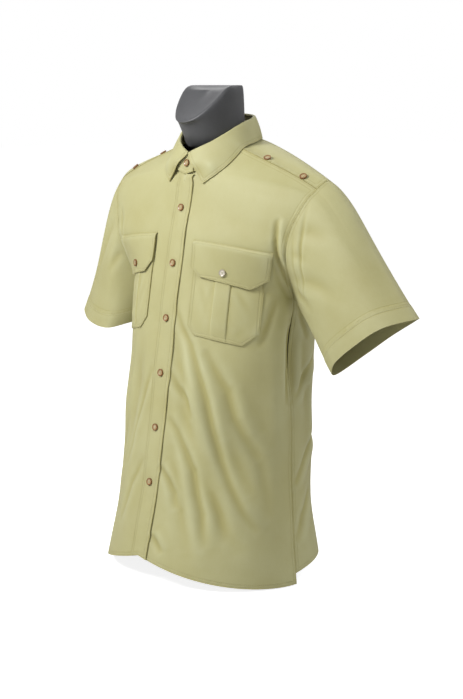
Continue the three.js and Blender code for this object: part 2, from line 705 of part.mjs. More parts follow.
// Dress form: rings of an oval section, a flat base and a dished cap
function formGeometry() {
  const capHeight = (drop) => ({ y }) => NECK.top - NECK.slope * Math.max(0, NECK.crest - y) - drop;
  const ringPoints = [
    ...FORM_RINGS.map(([height, halfWidth, front, back, middle]) => (
      oval(halfWidth, front, back, middle, underCloth(height))
    )),
    ...CAP_RINGS.map(([part, drop]) => (
      oval(NECK.halfWidth * part, NECK.front * part, NECK.back * part, NECK.middle, capHeight(drop))
    )),
  ].flat();
  const capMiddle = vector(0, NECK.middle, NECK.top - CAP_RINGS[CAP_RINGS.length - 1][1]);
  const points = [...ringPoints, vector(0, 0, 0), capMiddle];
  const base = ringPoints.length;
  const index = [];
  const last = base - FORM_SIDES;
  for (let n = 0; n < FORM_SIDES; n += 1) {
    const next = (n + 1) % FORM_SIDES;
    index.push(base, next, n, base + 1, last + n, last + next);
    for (let ring = 0; ring < last; ring += FORM_SIDES) {
      const [a, b, c, d] = [ring + n, ring + next, ring + FORM_SIDES + next, ring + FORM_SIDES + n];
      index.push(a, b, c, a, c, d);
    }
  }
  const geometry = new THREE.BufferGeometry();
  geometry.setAttribute('position', new THREE.Float32BufferAttribute(points.flatMap((p) => p.toArray()), 3));
  geometry.setIndex(index);
  geometry.computeVertexNormals();
  return geometry;
}

// Buttons: a rimmed disc, its face dished
const BUTTON_PROFILE = [[0, 0], [5.5, 0], [BUTTON_RADIUS, 1.8], [4.4, 2.3], [3.6, 1.6], [0, 1.5]];
const buttonOutline = BUTTON_PROFILE.map((point) => new THREE.Vector2(...point));
const buttonGeometry = new THREE.LatheGeometry(buttonOutline, BUTTON_SIDES);

function addButton(name, [point, normal], rise) {
  const button = addPiece(name, buttonGeometry, BUTTON_COLOUR, 0.35);
  button.position.copy(point).addScaledVector(normal, rise + BUTTON_SEAT);
  button.quaternion.setFromUnitVectors(vector(0, 1, 0), normal);
}

addPiece('front_left', wallGeometry([fronts.left], IN_LINE), CLOTH_COLOUR);
addPiece('front_right', wallGeometry([fronts.right], IN_LINE), CLOTH_COLOUR);
addPiece('back', wallGeometry(Object.values(backHalves), IN_LINE), CLOTH_COLOUR);
addPiece('yoke', wallGeometry(Object.values(yokeHalves), IN_LINE), CLOTH_COLOUR);
addPiece('sleeve_left', wallGeometry([sleeves.left], IN_LINE), CLOTH_COLOUR);
addPiece('sleeve_right', wallGeometry([sleeves.right], IN_LINE), CLOTH_COLOUR);
addPiece('placket_band', wallGeometry([band], ON_PANEL), CLOTH_COLOUR);

for (const name of ['front_left', 'front_right', 'back', 'yoke']) {
  bodyCloth.push(group.getObjectByName(name));
}
addPiece('dress_form', formGeometry(), FORM_COLOUR, 0.55);
const stand = standGrid();
const fall = fallGrid();
addNormals([stand]);
addNormals([fall]);
addPiece('collar_stand', wallGeometry([stand], IN_LINE), CLOTH_COLOUR);
addPiece('collar_fall', wallGeometry([fall], IN_LINE), CLOTH_COLOUR);

for (const [name, front] of Object.entries(fronts)) {
  addPiece(`pocket_${name}`, pocketGeometry(front), CLOTH_COLOUR);
  addPiece(`flap_${name}`, flapGeometry(front), CLOTH_COLOUR);
  const [pleatFrom, pleatTo] = PLEAT_COLUMNS.map((column) => gridLine(front, FIRST_POCKET_COLUMN + column));
  const middle = pleatFrom.map(([point, normal], n) => (
    [point.clone().lerp(pleatTo[n][0], 0.5), normal.clone().lerp(pleatTo[n][1], 0.5).normalize()]
  ));
  addButton(`button_flap_${name}`, atHeight(middle, FLAP_BUTTON_HEIGHT), 2 * LAYER + PLEAT_RISE);
}

FRONT_BUTTON_HEIGHTS.forEach((height, n) => {
  addButton(`button_front_${n + 1}`, atHeight(gridLine(band, 2), height), LAYER);
});

// The stand's button sits on its over end, at the centre front
const collarButtonRadius = COLLAR_RADIUS + STAND_OVERLAP_RISE + COLLAR_BUTTON_OUT;
const standFront = collarPoint(0, collarButtonRadius, COLLAR_BUTTON_HEIGHT);
addButton('button_collar', [standFront, vector(0, -0.97, 0.24).normalize()], 0);

// Two buttons just behind each front yoke seam
for (const [name, yoke] of Object.entries(yokeHalves)) {
  SHOULDER_BUTTONS_X.forEach((across, n) => {
    const acrossOf = yoke.points[0].map((point) => Math.abs(point.x));
    const outer = acrossOf.findIndex((x) => x >= across);
    const part = (across - acrossOf[outer - 1]) / (acrossOf[outer] - acrossOf[outer - 1]);
    const seat = (table, row) => yoke[table][row][outer - 1].clone().lerp(yoke[table][row][outer], part);
    const point = seat('points', 0).lerp(seat('points', 1), SHOULDER_BUTTON_BACK);
    const normal = seat('normals', 0).lerp(seat('normals', 1), SHOULDER_BUTTON_BACK).normalize();
    addButton(`button_shoulder_${name}_${n + 1}`, [point, normal], 0);
  });
}

export default group;
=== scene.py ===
"""A short-sleeved military shirt on a limbless dress form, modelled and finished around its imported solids.

Shapes are worked out in millimetres and turned into metres where a mesh is made. The front faces -Y and the
wearer's left is +X.
"""
import json
import math

import bmesh
import bpy
import numpy as np
from bpy.props import FloatProperty, FloatVectorProperty, IntProperty, PointerProperty
from mathutils import Matrix, Vector
from mathutils.bvhtree import BVHTree

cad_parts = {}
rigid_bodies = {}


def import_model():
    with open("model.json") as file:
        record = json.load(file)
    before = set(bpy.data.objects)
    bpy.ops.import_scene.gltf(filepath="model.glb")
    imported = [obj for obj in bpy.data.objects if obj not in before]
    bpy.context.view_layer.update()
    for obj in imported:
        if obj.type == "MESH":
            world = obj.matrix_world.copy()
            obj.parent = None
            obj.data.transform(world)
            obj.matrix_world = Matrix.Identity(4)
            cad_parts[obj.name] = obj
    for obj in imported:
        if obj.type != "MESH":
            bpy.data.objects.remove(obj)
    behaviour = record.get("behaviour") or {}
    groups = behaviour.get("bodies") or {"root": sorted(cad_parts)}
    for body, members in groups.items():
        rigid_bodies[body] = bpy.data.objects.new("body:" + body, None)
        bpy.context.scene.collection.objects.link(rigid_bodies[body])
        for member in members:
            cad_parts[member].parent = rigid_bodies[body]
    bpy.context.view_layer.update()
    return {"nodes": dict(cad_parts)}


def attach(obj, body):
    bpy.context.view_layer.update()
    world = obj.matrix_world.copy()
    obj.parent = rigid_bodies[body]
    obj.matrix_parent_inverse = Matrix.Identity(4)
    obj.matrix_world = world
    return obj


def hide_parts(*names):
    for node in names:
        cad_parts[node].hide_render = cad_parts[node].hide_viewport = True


bl_info = {
    "name": "Military shirt on a dress form",
    "version": (1, 0, 0),
    "blender": (4, 5, 0),
    "location": "View3D > Sidebar > Shirt",
    "description": "Builds a short-sleeved military shirt, its sewing and buttons, and the form it hangs on",
    "category": "Object",
}

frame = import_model()
MM = 0.001
ROOT = "root"

# Each row of a panel is one curve from the centre of the body to the side seam or the armhole.
# Columns: centre end x y z, its handle x y z, side handle x y z, side end x y z.
FRONT_ROWS = [
    [0, -177, 42, 110, -3, -26, 4, -104, -3, 190, -5, 2],
    [0, -157, 130, 104, 0, -18, 3, -90, -2, 180, -3, 100],
    [0, -143, 215, 96, 0, -12, 2, -79, -2, 172, 0, 195],
    [0, -130, 303, 98, 0, -8, 2, -80, 0, 168, 2, 288],
    [0, -116, 408, 99, 0, -6, 8, -72, 0, 170, 2, 380],
    [0, -102, 500, 103, 2, -6, 20, -56, 6, 172, 3, 462],
    [0, -91, 560, 96, 2, -8, -34, -30, 6, 201, -43, 529],
    [0, -80, 606, 88, 2, -6, -42, -24, 8, 211, -45, 570],
    [0, -75, 637, 80, 4, -2, -48, -20, 14, 224, -36, 604],
    [0, -72, 653, 78, 8, 2, -50, -16, 18, 231, -25, 624],
    [45, -59, 667, 55, 12, -4, -50, -10, 19, 234, -18, 631],
    [66, -22, 699, 44, 2, -17, -51, -4, 26, 236, -11, 637],
]
BACK_ROWS = [
    [0, 126, 30, 102, 2, 8, 4, 92, 24, 188.3, -4.7, 19],
    [0, 115, 118, 96, 2, 2, 3, 78, 8, 180, -3, 100],
    [0, 111, 210, 92, 2, -2, 2, 70, 2, 172, 0, 195],
    [0, 117, 300, 97, 2, -4, 2, 78, 0, 168, 2, 288],
    [0, 125, 390, 98, 2, -4, 8, 84, 0, 170, 2, 380],
    [0, 130, 475, 98, 2, -4, 18, 76, 2, 172, 3, 462],
    [0, 129, 520, 98, 2, -4, -12, 52, 4, 192, 38, 498],
    [0, 122, 565, 98, 2, -4, -38, 32, 6, 207, 53, 541],
    [0, 112, 605, 92, 2, -2, -42, 22, 8, 216, 50, 580],
]
YOKE_ROWS = [
    [66, -22, 699, 44, 2, -17, -51, -4, 26, 236, -11, 637],
    [64, 0, 703, 44, 3, -14, -50, 0, 25, 239, 1, 647],
    [60, 24, 705, 44, -4, -9, -49, 2, 23, 239, 12, 650],
    [42, 48, 708, 52, -10, -6, -48, 6, 23, 238, 22, 646],
    [0, 62, 709, 70, -6, -5, -50, 14, 25, 234, 33, 635],
    [0, 94, 658, 84, -2, 0, -50, 20, 22, 226, 44, 608],
    [0, 112, 605, 92, 2, -2, -42, 22, 8, 216, 50, 580],
]
ARMPIT_ROW = 5
PIT_ROW = 9

# How finely the rows are divided: from row, to row, steps
FRONT_STEPS = [(0, 5, 170), (5, 6, 26), (6, 9, 38), (9, 11, 18)]
BACK_STEPS = [(0, 5, 140), (5, 8, 46)]
YOKE_STEPS = [(0, 3, 18), (3, 6, 34)]
FRONT_COLUMNS = 96
HALF_COLUMNS = 70

# Place round the body: 0 centre front, 1 left side seam, 2 centre back, -1 right side seam.
# Columns: place and height of the upper end, place and height of the lower end, half width, depth.
BODY_FOLDS = [
    [0.10, 395, 0.30, 215, 13, -7],
    [0.30, 215, 0.62, 70, 12, -6],
    [0.20, 380, 0.44, 200, 15, 5],
    [0.52, 240, 0.70, 150, 13, -6],
    [0.15, 215, 0.33, 60, 12, -6],
    [0.22, 200, 0.42, 50, 13, 5],
    [1.00, 425, 1.02, 300, 11, -13],
    [0.86, 400, 0.90, 190, 17, 6],
    [1.10, 410, 1.22, 250, 14, -7],
    [1.20, 330, 1.34, 150, 16, 6],
    [-0.28, 370, -0.42, 180, 16, -6],
    [-0.55, 330, -0.66, 90, 18, 6],
    [-0.98, 420, -1.00, 300, 12, -10],
    [-1.14, 400, -1.24, 240, 15, -6],
    [1.62, 520, 1.50, 300, 18, -6],
    [-1.60, 500, -1.46, 280, 18, -6],
    [1.80, 300, 1.70, 60, 20, 6],
    [-1.82, 340, -1.66, 80, 20, -6],
]
QUARTER_GIRTH = 220

# Finer creases laid over the folds, each with its half width, depth and line of places and heights.
# Beside each trough, on its right as its line runs, the cloth rises again in a ridge.
CREASES = [
    (7, -5.2, [
        (0.06, 450), (0.14, 415), (0.235, 385), (0.345, 327), (0.39, 300), (0.44, 257), (0.51, 205),
        (0.575, 166), (0.65, 127), (0.75, 91),
    ]),
    (6, -3.0, [(0.07, 343), (0.146, 315), (0.235, 298), (0.30, 268)]),
    (6.5, -4.8, [
        (0.095, 269), (0.176, 249), (0.254, 216), (0.32, 187), (0.36, 150), (0.40, 120), (0.427, 66),
    ]),
    (5.5, -3.6, [(0.07, 191), (0.143, 167), (0.187, 148), (0.215, 122)]),
    (8.5, -4.2, [(0.352, 380), (0.434, 351), (0.532, 317), (0.591, 273), (0.659, 244), (0.752, 205)]),
    (5.5, -2.4, [(0.067, 80), (0.115, 68), (0.17, 52)]),
    (4, -4.6, [(0.985, 420), (0.975, 394), (0.97, 362), (0.964, 330), (0.954, 290)]),
    (4.4, -5.4, [(0.875, 592), (0.90, 572), (0.93, 540), (0.965, 512), (0.985, 480)]),
    (8, -2.4, [(0.90, 560), (0.915, 524), (0.92, 490), (0.95, 450)]),
    (6, -2.2, [(0.74, 385), (0.803, 430), (0.85, 466)]),
    (7, -1.6, [(0.46, 160), (0.52, 120), (0.55, 76)]),
    (9, -1.8, [(0.70, 250), (0.78, 190), (0.83, 110)]),
    (6, -4.0, [(1.30, 365), (1.145, 326), (1.057, 296)]),
    (6, -3.4, [(1.34, 244), (1.16, 196), (1.03, 158)]),
    (7, -3.0, [(1.24, 150), (1.10, 108), (1.03, 66)]),
    (5, -2.8, [(1.04, 456), (1.09, 424), (1.17, 392)]),
    (7, -2.6, [(1.12, 474), (1.22, 440), (1.34, 412)]),
    (10, -2.4, [(1.46, 470), (1.43, 420), (1.38, 372)]),
    (11, -2.6, [(1.52, 300), (1.47, 220), (1.50, 120)]),
    (11, -2.2, [(1.86, 560), (1.83, 500), (1.80, 430)]),
    (12, -2.4, [(1.95, 420), (1.91, 340), (1.92, 240)]),
    (10, -2.0, [(1.74, 180), (1.78, 120), (1.76, 50)]),
    (11, -2.0, [(-1.94, 540), (-1.90, 470), (-1.87, 400)]),
    (12, -2.2, [(-1.90, 260), (-1.85, 180), (-1.88, 90)]),
    (10, -2.6, [(-1.36, 320), (-1.42, 230), (-1.48, 140)]),
    (6, -3.2, [(-1.04, 450), (-1.10, 410), (-1.20, 376)]),
    (8, -2.8, [(-1.10, 320), (-1.13, 240), (-1.18, 170)]),
    (6, -3.6, [(-0.95, 440), (-0.90, 410), (-0.83, 380)]),
    (8, -3.4, [(-0.88, 590), (-0.91, 540), (-0.90, 470)]),
    (9, -3.0, [(-0.70, 340), (-0.77, 270), (-0.80, 200)]),
    (7, -3.6, [(-0.10, 350), (-0.19, 300), (-0.30, 232), (-0.36, 170)]),
    (7, -3.0, [(-0.10, 200), (-0.22, 150), (-0.30, 80)]),
    (9, -2.6, [(-0.46, 260), (-0.56, 190), (-0.60, 110)]),
]
CREASE_DEPTH = 1.15
CREASE_WIDTH = 1.05
# The ridge's share of the depth, its place and its spread, both in half widths
RIDGE = (0.5, 1.9, 1.3)
# How blunt a crease's ends are, and how much of a fold's depth is left at its ends
CREASE_ENDS = 0.7
FOLD_ENDS = 0.25

# Slow unevenness all over the cloth: waves round the body and up it in a metre, turn, height
SWELL = [(5.1, 3.3, 0.4, 0.55), (9.7, 4.1, 1.9, 0.38), (3.9, 8.3, 2.7, 0.42), (15.1, 11.7, 0.9, 0.16)]
SWELL_TOP = 640
SWELL_FADE = 60

# Pockets and flaps, by row and by distance along the cloth from the centre front.
# Edges: row, inner edge, outer edge. Cuts: how far the lower corners are cut off, across and in rows.
# Tilt: how many rows the top edge lies higher at its inner and outer ends.
POCKETS = {
    "left": {"edges": [[4, 49, 173], [5, 46, 173]], "cuts": [(13, 0.14), (26, 0.24)]},
    "right": {"edges": [[4, 57, 173], [5, 57, 173]], "cuts": [(20, 0.18), (26, 0.24)]},
}
FLAPS = {
    "left": {"edges": [[5, 43, 179], [6, 42, 193]], "cuts": [(19, 0.18), (27, 0.38)], "tilt": (-0.06, 0.14)},
    "right": {"edges": [[5, 55, 179], [6, 55, 190]], "cuts": [(22, 0.24), (27, 0.38)], "tilt": (0.06, 0.2)},
}
PLEATS = {"left": 106, "right": 114}
# Soft pulls in a pocket's cloth: distance from the pleat and height over the lower edge, for both ends,
# then half width and depth
POCKET_PULLS = [
    [-44, 86, -24, 34, 7, -1.5], [-18, 90, -22, 42, 5, -1.1],
    [20, 88, 48, 50, 6, -1.4], [42, 30, 32, 10, 6, -0.9],
]
# Height of the cloth in one row of the fronts, where the pockets lie
ROW_RISE = 92
PLEAT_WIDTH = 26
PLEAT_SIDE = 1.2
PLEAT_RISE = 1.5
# What is left of the pleat's rise at the pocket's lower seam
PLEAT_SHUT = 0.35
# The groove beside a pleat: its depth, its place past the pleat and its half width
PLEAT_GROOVE = (0.9, 2.6, 1.6)
POCKET_ROWS = (4, 5.85)
FLAP_ROWS = (5, 6)
# A pocket's belly, the waves in it, the rows it opens in, and the rows it fades in below the flap
POCKET_BELLY = 1.4
POCKET_SAG = 0.7
POCKET_OPENS = 0.3
POCKET_FADES = 0.25
# A flap's belly, its height over the pocket, the curl of its corners, and the rows that it curls and folds in
FLAP_BELLY = 0.7
FLAP_PROUD = 0.9
FLAP_CURL = 1.1
FLAP_CURLS = 0.5
FLAP_FOLDS = 0.12
# Columns from an edge to the pleat, over the pleat and on to the other edge, and rows beside the cut corners
PATCH_COLUMNS = [14, 3, 10, 3, 16]
CORNER_STEPS = [5, 3]
POCKET_STEPS = 37
FLAP_STEPS = 19
# How many rows above a point the way up the cloth is taken, to tilt a top edge
TILT_REACH = 0.2
LAYER = 1.8
SEAM_GAP = 0.3

BAND_HALF_WIDTH = 19.5
LEFT_FRONT_EDGE = -12
RIGHT_FRONT_EDGE = 13
BUTTON_HEIGHTS = [600, 512, 424, 336, 248, 160]
BAND_COLUMNS = 26
# The band's free edge gapes a little by a button and more between two, and each button presses a dimple
FREE_START = 9
FREE_FADE = 10
GAPE_AT_BUTTON = 0.15
GAPE_BETWEEN = 0.6
GAPE_START = 8
GAPE_FADE = 34
DIMPLE_DEPTH = 0.5
DIMPLE_WIDTH = 9

# The sleeves: a cuff loop of eight points from under the arm up the front, and how each line leaves
# and arrives. Fold columns: part of the way round and distance down the sleeve, for both ends, then half
# width and depth.
SLEEVES = {
    "left": {
        "side": 1,
        "cuff": [
            [280, -12, 354], [308, -43, 377], [354, -50, 409], [398, -36, 440],
            [428, 6, 453], [402, 36, 446], [352, 38, 418], [306, 24, 383],
        ],
        "cap_handle": [47, 0, -18], "under_handle": [36, -4, -36],
        "cuff_top_handle": [-109, 0, 114], "cuff_under_handle": [-36, 4, 36],
        "folds": [
            [0.30, 12, 0.40, 120, 12, -4], [0.14, 24, 0.30, 170, 12, -4], [0.62, 24, 0.70, 130, 12, -4],
            [0.22, 8, 0.26, 70, 6, -2.0], [0.08, 20, 0.16, 120, 8, -2.2], [0.36, 60, 0.44, 190, 12, 2.0],
            [0.50, 110, 0.47, 215, 14, -1.6], [0.80, 16, 0.86, 130, 10, -3.0], [0.90, 30, 0.94, 120, 8, -2.0],
            [0.56, 16, 0.60, 70, 8, -1.4], [0.41, 6, 0.15, 84, 5, -3.0], [0.33, 4, 0.10, 56, 5, -2.2],
        ],
    },
    "right": {
        "side": -1,
        "cuff": [
            [-216, -6, 388], [-246, -40, 376], [-290, -40, 379], [-332, -24, 388],
            [-367, 6, 399], [-346, 44, 394], [-296, 54, 382], [-246, 36, 382],
        ],
        "cap_handle": [-32, 0, -17], "under_handle": [-16, -4, -28],
        "cuff_top_handle": [58, 0, 104], "cuff_under_handle": [16, 4, 28],
        "folds": [
            [0.28, 24, 0.36, 150, 12, -4], [0.60, 24, 0.66, 150, 12, -4],
            [0.16, 12, 0.22, 110, 8, -2.4], [0.40, 40, 0.38, 190, 12, 2.2], [0.46, 90, 0.50, 205, 12, -2.2],
            [0.74, 16, 0.80, 140, 10, -2.6], [0.88, 24, 0.92, 120, 8, -2.0],
        ],
    },
}
SLEEVE_LENGTH = 230
SLEEVE_GIRTH = 430
SLEEVE_STEPS = 64
SLEEVE_HEM = 27
SLEEVE_MIDDLE = 60
# Slow unevenness of a sleeve: its height, then how often each of its waves goes round, and its turn
SLEEVE_SWELL = 0.2
SLEEVE_WAVES = [(7, 5), (3, -9)]
# The share of a sleeve's length in which its folds come up from the armhole
SLEEVE_SETTLE = 2 / 9
ARMHOLE_CENTRE = [205, 5, 557]
CUFF_STEPS = 24
# The turned hem's height and the line sewn along it, the yoke seams' width and height, and how far both fade
HEM_RISE = 0.7
HEM_LINE = 1.6
YOKE_SEAM = 9
YOKE_RISE = 0.8
RAISE_FADE = 2.5

# Collar. Angles go from the centre front round the wearer's left side.
NECK_FRONT_ROWS = (9, 10, 10.5, 11)
NECK_YOKE_ROWS = (1, 2, 3, 4)
COLLAR_CENTRE_Y = -6
COLLAR_MIDDLE = np.array([0, COLLAR_CENTRE_Y, 680.0])
COLLAR_RADIUS = 59.5
COLLAR_TOP = [[0, 687], [38, 704], [76, 727], [95, 736], [117, 741], [142, 745], [180, 747]]
STAND_ENDS = (-10, 374)
STAND_COLUMNS = 150
STAND_ROWS = 12
STAND_DROP = 2.8
STAND_RISE = 2
# Where the stand's one end lies over the other: angle at which each starts to move, and its fade
STAND_OVER = (325, 22)
STAND_UNDER = (14, 12)
FALL_EDGE = [
    [31, 92, 640], [45, 91, 653], [60, 87, 670], [79, 81, 696],
    [90, 77, 700], [120, 73, 706], [150, 75, 704], [180, 79, 698],
]
FALL_ROLL = [[-2.2, -1], [-0.4, 1.3], [2.4, 0.8], [4.6, -3]]
# The fall's lower rows as parts of its drop, how far they bow out, and how high they clear the cloth below
FALL_LOWER_PARTS = [0.3, 0.65, 1]
FALL_BOW = 2
FALL_CLEARANCES = [4.8, 4.4, 2.8]
FALL_THICKNESS = 1.4 * MM
FALL_COLUMNS = 160
ROLL_STEPS = 4
DROP_STEPS = 7
# The fall's points lie back to the chest: share of the edge at each end, its fade, the gap left, and how
# far behind them the chest is looked for
TIP_SHARE = 0.16
TIP_FADE = 0.1
TIP_GAP = 2.6
TIP_REACH = 25
FALL_ROLL_START = 1.5

# Rows of stitches on each kind of sheet: the border that a row follows, and how far in from it the row lies
SEAMS = {
    "front": [("low", 6)],
    "back": [("low", 6), ("first", 1.8), ("first", 7), ("last", 1.8), ("last", 7)],
    "yoke": [("low", 1.8), ("high", 1.8)],
    "sleeve": [("high", SLEEVE_HEM - 1.5), ("low", 1.8)],
    "placket_band": [("first", 6), ("last", 6), ("first", 1.5), ("low", 4)],
    "pocket": [(border, inset) for inset in (1.6, 6.5) for border in ("first", "last", "low")],
    "flap": [(border, inset) for inset in (1.6, 6.5) for border in ("first", "last", "low", "high")],
    "collar_stand": [("low", 1.8), ("first", 1.8), ("last", 1.8)],
    "collar_fall": [("first", 5.5), ("last", 5.5), ("high", 5.5)],
}
THREAD_LIFT = 0.2

# A grid's borders: the axis that each lies across, its line on that axis and the next line in
BORDERS = {"low": (0, 0, 1), "high": (0, -1, -2), "first": (1, 0, 1), "last": (1, -1, -2)}
FAR_FROM_BORDER = 200.0
CURVE_STEPS = 90


# The settings in the sidebar


class ShirtClothSettings(bpy.types.PropertyGroup):
    """Thickness and colours of the cloth."""

    thickness: FloatProperty(
        name="Cloth thickness", description="Thickness of one layer of cloth", default=1.1 * MM,
        unit="LENGTH",
    )
    colour: FloatVectorProperty(
        name="Cloth", description="Colour of the twill", subtype="COLOR", size=3, min=0, max=1,
        default=(0.546, 0.534, 0.296),
    )
    # The darker end of the twill's colour: its random darker tone, and the painted shade in creases, troughs,
    # stitch lines and edges
    shade: FloatVectorProperty(
        name="Cloth shade", description="Colour of the twill in its creases and pores", subtype="COLOR",
        size=3, min=0, max=1, default=(0.42, 0.383, 0.155),
    )


class ShirtTrimSettings(bpy.types.PropertyGroup):
    """Sizes and colours of the thread and the buttons."""

    stitch: FloatProperty(
        name="Stitch", description="Length of one stitch", default=2.3 * MM, unit="LENGTH",
    )
    stitch_pitch: FloatProperty(
        name="Stitch pitch", description="Distance from one stitch to the next", default=3.1 * MM,
        unit="LENGTH",
    )
    thread_radius: FloatProperty(
        name="Thread radius", description="Half the thickness of the thread", default=0.26 * MM,
        unit="LENGTH",
    )
    thread: FloatVectorProperty(
        name="Thread", description="Colour of the sewing thread", subtype="COLOR", size=3, min=0, max=1,
        default=(0.63, 0.605, 0.38),
    )
    button_radius: FloatProperty(
        name="Button radius", description="Half the width of a button", default=5.75 * MM, unit="LENGTH",
    )
    button_sides: IntProperty(
        name="Button sides", description="How many sides a button's rim has", default=40, min=12, max=96,
    )
    horn: FloatVectorProperty(
        name="Button", description="Colour of the buttons", subtype="COLOR", size=3, min=0, max=1,
        default=(0.30, 0.135, 0.05),
    )


class ShirtStageSettings(bpy.types.PropertyGroup):
    """The form's colour, the floor and the lights."""

    form: FloatVectorProperty(
        name="Form", description="Colour of the dress form's cover", subtype="COLOR", size=3, min=0, max=1,
        default=(0.07, 0.071, 0.075),
    )
    floor: FloatVectorProperty(
        name="Floor", description="Colour of the floor", subtype="COLOR", size=3, min=0, max=1,
        default=(0.62, 0.62, 0.62),
    )
    surround: FloatProperty(name="Surround", description="Strength of the light from all round", default=0.24)
    key: FloatProperty(name="Key light", description="Power of the main light in watts", default=36.0)


# Numbers and curves


def ease(value):
    """0 to 1 with soft ends."""
    value = np.clip(value, 0, 1)
    return value * value * (3 - 2 * value)


def lengths_along(points, axis):
    """Distance along a grid's rows or columns from their first point."""
    steps = np.linalg.norm(np.diff(points, axis=axis), axis=-1)
    zero = np.zeros_like(np.take(steps, [0], axis=axis))
    return np.concatenate([zero, np.cumsum(steps, axis=axis)], axis=axis)


def unit(vectors):
    return vectors / np.maximum(np.linalg.norm(vectors, axis=-1, keepdims=True), 1e-9)


def through(four, part):
    """A smooth curve through four even values, from the second to the third."""
    before, start, end, after = four
    leave, arrive = (end - before) / 2, (after - start) / 2
    bend = 3 * (end - start) - 2 * leave - arrive
    twist = leave + arrive - 2 * (end - start)
    return start + leave * part + bend * part**2 + twist * part**3


def bezier(controls, part):
    """Points and directions of a cubic curve at an array of parts. Controls are 4 x ... x 3."""
    part = np.asarray(part, float)[..., None]
    rest = 1 - part
    a, b, c, d = controls
    points = rest**3 * a + 3 * rest**2 * part * b + 3 * rest * part**2 * c + part**3 * d
    slopes = 3 * (rest**2 * (b - a) + 2 * rest * part * (c - b) + part**2 * (d - c))
    return points, slopes


def divided(spans):
    """Levels from a table of spans."""
    parts = [np.linspace(start, end, steps, endpoint=False) for start, end, steps in spans]
    return np.concatenate([*parts, [spans[-1][1]]])


def fold_lift(folds, place, height, place_scale):
    """How far folds push the cloth out at each place and height."""
    lift = np.zeros(np.broadcast(place, height).shape)
    for place0, height0, place1, height1, half_width, depth in folds:
        along = np.array([(place1 - place0) * place_scale, height1 - height0])
        away = [(place - place0) * place_scale, height - height0]
        part = np.clip((along[0] * away[0] + along[1] * away[1]) / (along @ along), 0, 1)
        distance = np.hypot(away[0] - along[0] * part, away[1] - along[1] * part)
        shape = (FOLD_ENDS + (1 - FOLD_ENDS) * np.sin(np.pi * part)) * np.exp(-((distance / half_width) ** 2))
        lift += depth * shape
    return lift


def crease_lift(creases, place, height):
    """How far creases along bent lines push the cloth, with a ridge beside each trough."""
    lift = np.zeros(np.broadcast(place, height).shape)
    here = np.stack([place * QUARTER_GIRTH + 0 * height, height + 0 * place], axis=-1)[..., None, :]
    share, beside, spread = RIDGE
    for half_width, depth, line in creases:
        line = np.array(line, float) * [QUARTER_GIRTH, 1]
        steps = np.diff(line, axis=0)
        lengths = np.hypot(steps[:, 0], steps[:, 1])
        starts = np.concatenate([[0], np.cumsum(lengths)])
        away = here - line[:-1]
        part = np.clip((away * steps).sum(-1) / lengths**2, 0, 1)
        rest = away - steps * part[..., None]
        distance = np.hypot(rest[..., 0], rest[..., 1])
        turn = steps[:, 0] * rest[..., 1] - steps[:, 1] * rest[..., 0]
        nearest = distance.argmin(-1)[..., None]
        off, turned, gone = [
            np.take_along_axis(table, nearest, -1)[..., 0]
            for table in (distance, turn, starts[:-1] + part * lengths)
        ]
        across = off * np.sign(turned) / (CREASE_WIDTH * half_width)
        along = np.clip(gone / starts[-1], 0.0, 1.0)
        shape = np.exp(-across**2) - share * np.exp(-(((across - beside) / spread) ** 2))
        lift += CREASE_DEPTH * depth * shape * np.sin(np.pi * along) ** CREASE_ENDS
    return lift


def swell(place, height):
    """Slow unevenness of hanging cloth."""
    across, up = place * QUARTER_GIRTH * MM, height * MM
    return sum(
        rise * np.sin(2 * np.pi * (wide * across + tall * up) + turn) for wide, tall, turn, rise in SWELL
    )


class Panel:
    """One half of a body panel, as rows of curves from the centre to the side."""

    def __init__(self, rows, side, outward, corner_row=None):
        self.rows = np.array(rows, float)
        self.side = side
        self.outward = outward
        self.corner_row = corner_row

    def row(self, level):
        """The row's numbers at a level, which turns a corner at the side where the armhole starts."""
        last = len(self.rows) - 1
        lower = min(int(level), last - 1)
        corner = self.corner_row
        side_from = corner if corner is not None and lower >= corner else 0
        side_to = corner if corner is not None and lower < corner else last
        near = [
            np.concatenate([
                self.rows[min(max(lower + step, 0), last), :6],
                self.rows[min(max(lower + step, side_from), side_to), 6:],
            ])
            for step in (-1, 0, 1, 2)
        ]
        return through(near, level - lower)

    def line(self, level):
        """The curve's controls at a level, and a table of its parts and lengths."""
        centre, handle, side_handle, end = self.row(level).reshape(4, 3) * [self.side, 1, 1]
        controls = np.array([centre, centre + handle, end + side_handle, end])
        parts = np.linspace(0, 1, CURVE_STEPS)
        lengths = lengths_along(bezier(controls, parts)[0], 0)
        return controls, parts, lengths

    def points(self, level, distances):
        """Points at distances along the cloth from the centre, on past it where they are negative."""
        controls, parts, lengths = self.line(level)
        distances = np.asarray(distances, float)
        points, slopes = bezier(controls, np.interp(np.abs(distances), lengths, parts))
        away = unit(np.cross(slopes, [0, 0, self.side * self.outward]))
        mirror = np.where(distances < 0, -1, 1)
        points[:, 0] *= mirror
        away[:, 0] *= mirror
        part = distances / lengths[-1]
        place = self.side * (part if self.outward > 0 else 2 - part)
        height = points[:, 2]
        lift = fold_lift(BODY_FOLDS, place, height, QUARTER_GIRTH)
        lift += crease_lift(CREASES, place, height)
        lift += swell(place, height) * ease((SWELL_TOP - height) / SWELL_FADE)
        return points + away * lift[:, None]

    def grid(self, steps, columns, edge=0):
        """Rows of points in even columns to the side, from the centre or an edge hidden by the placket."""
        rows = []
        for level in divided(steps):
            start = 0 if level > PIT_ROW else edge
            end = self.line(level)[2][-1]
            rows.append(self.points(level, np.linspace(start, end, columns + 1)))
        return np.array(rows)


def grid_normals(points, outward_from):
    """Outward unit normals of a grid. The grid's middle point faces away from a given point."""
    across = np.gradient(points, axis=1)
    up = np.gradient(points, axis=0)
    normals = unit(np.cross(across, up))
    middle = tuple(size // 2 for size in points.shape[:2])
    if normals[middle] @ (points[middle] - outward_from) < 0:
        normals = -normals
    return normals


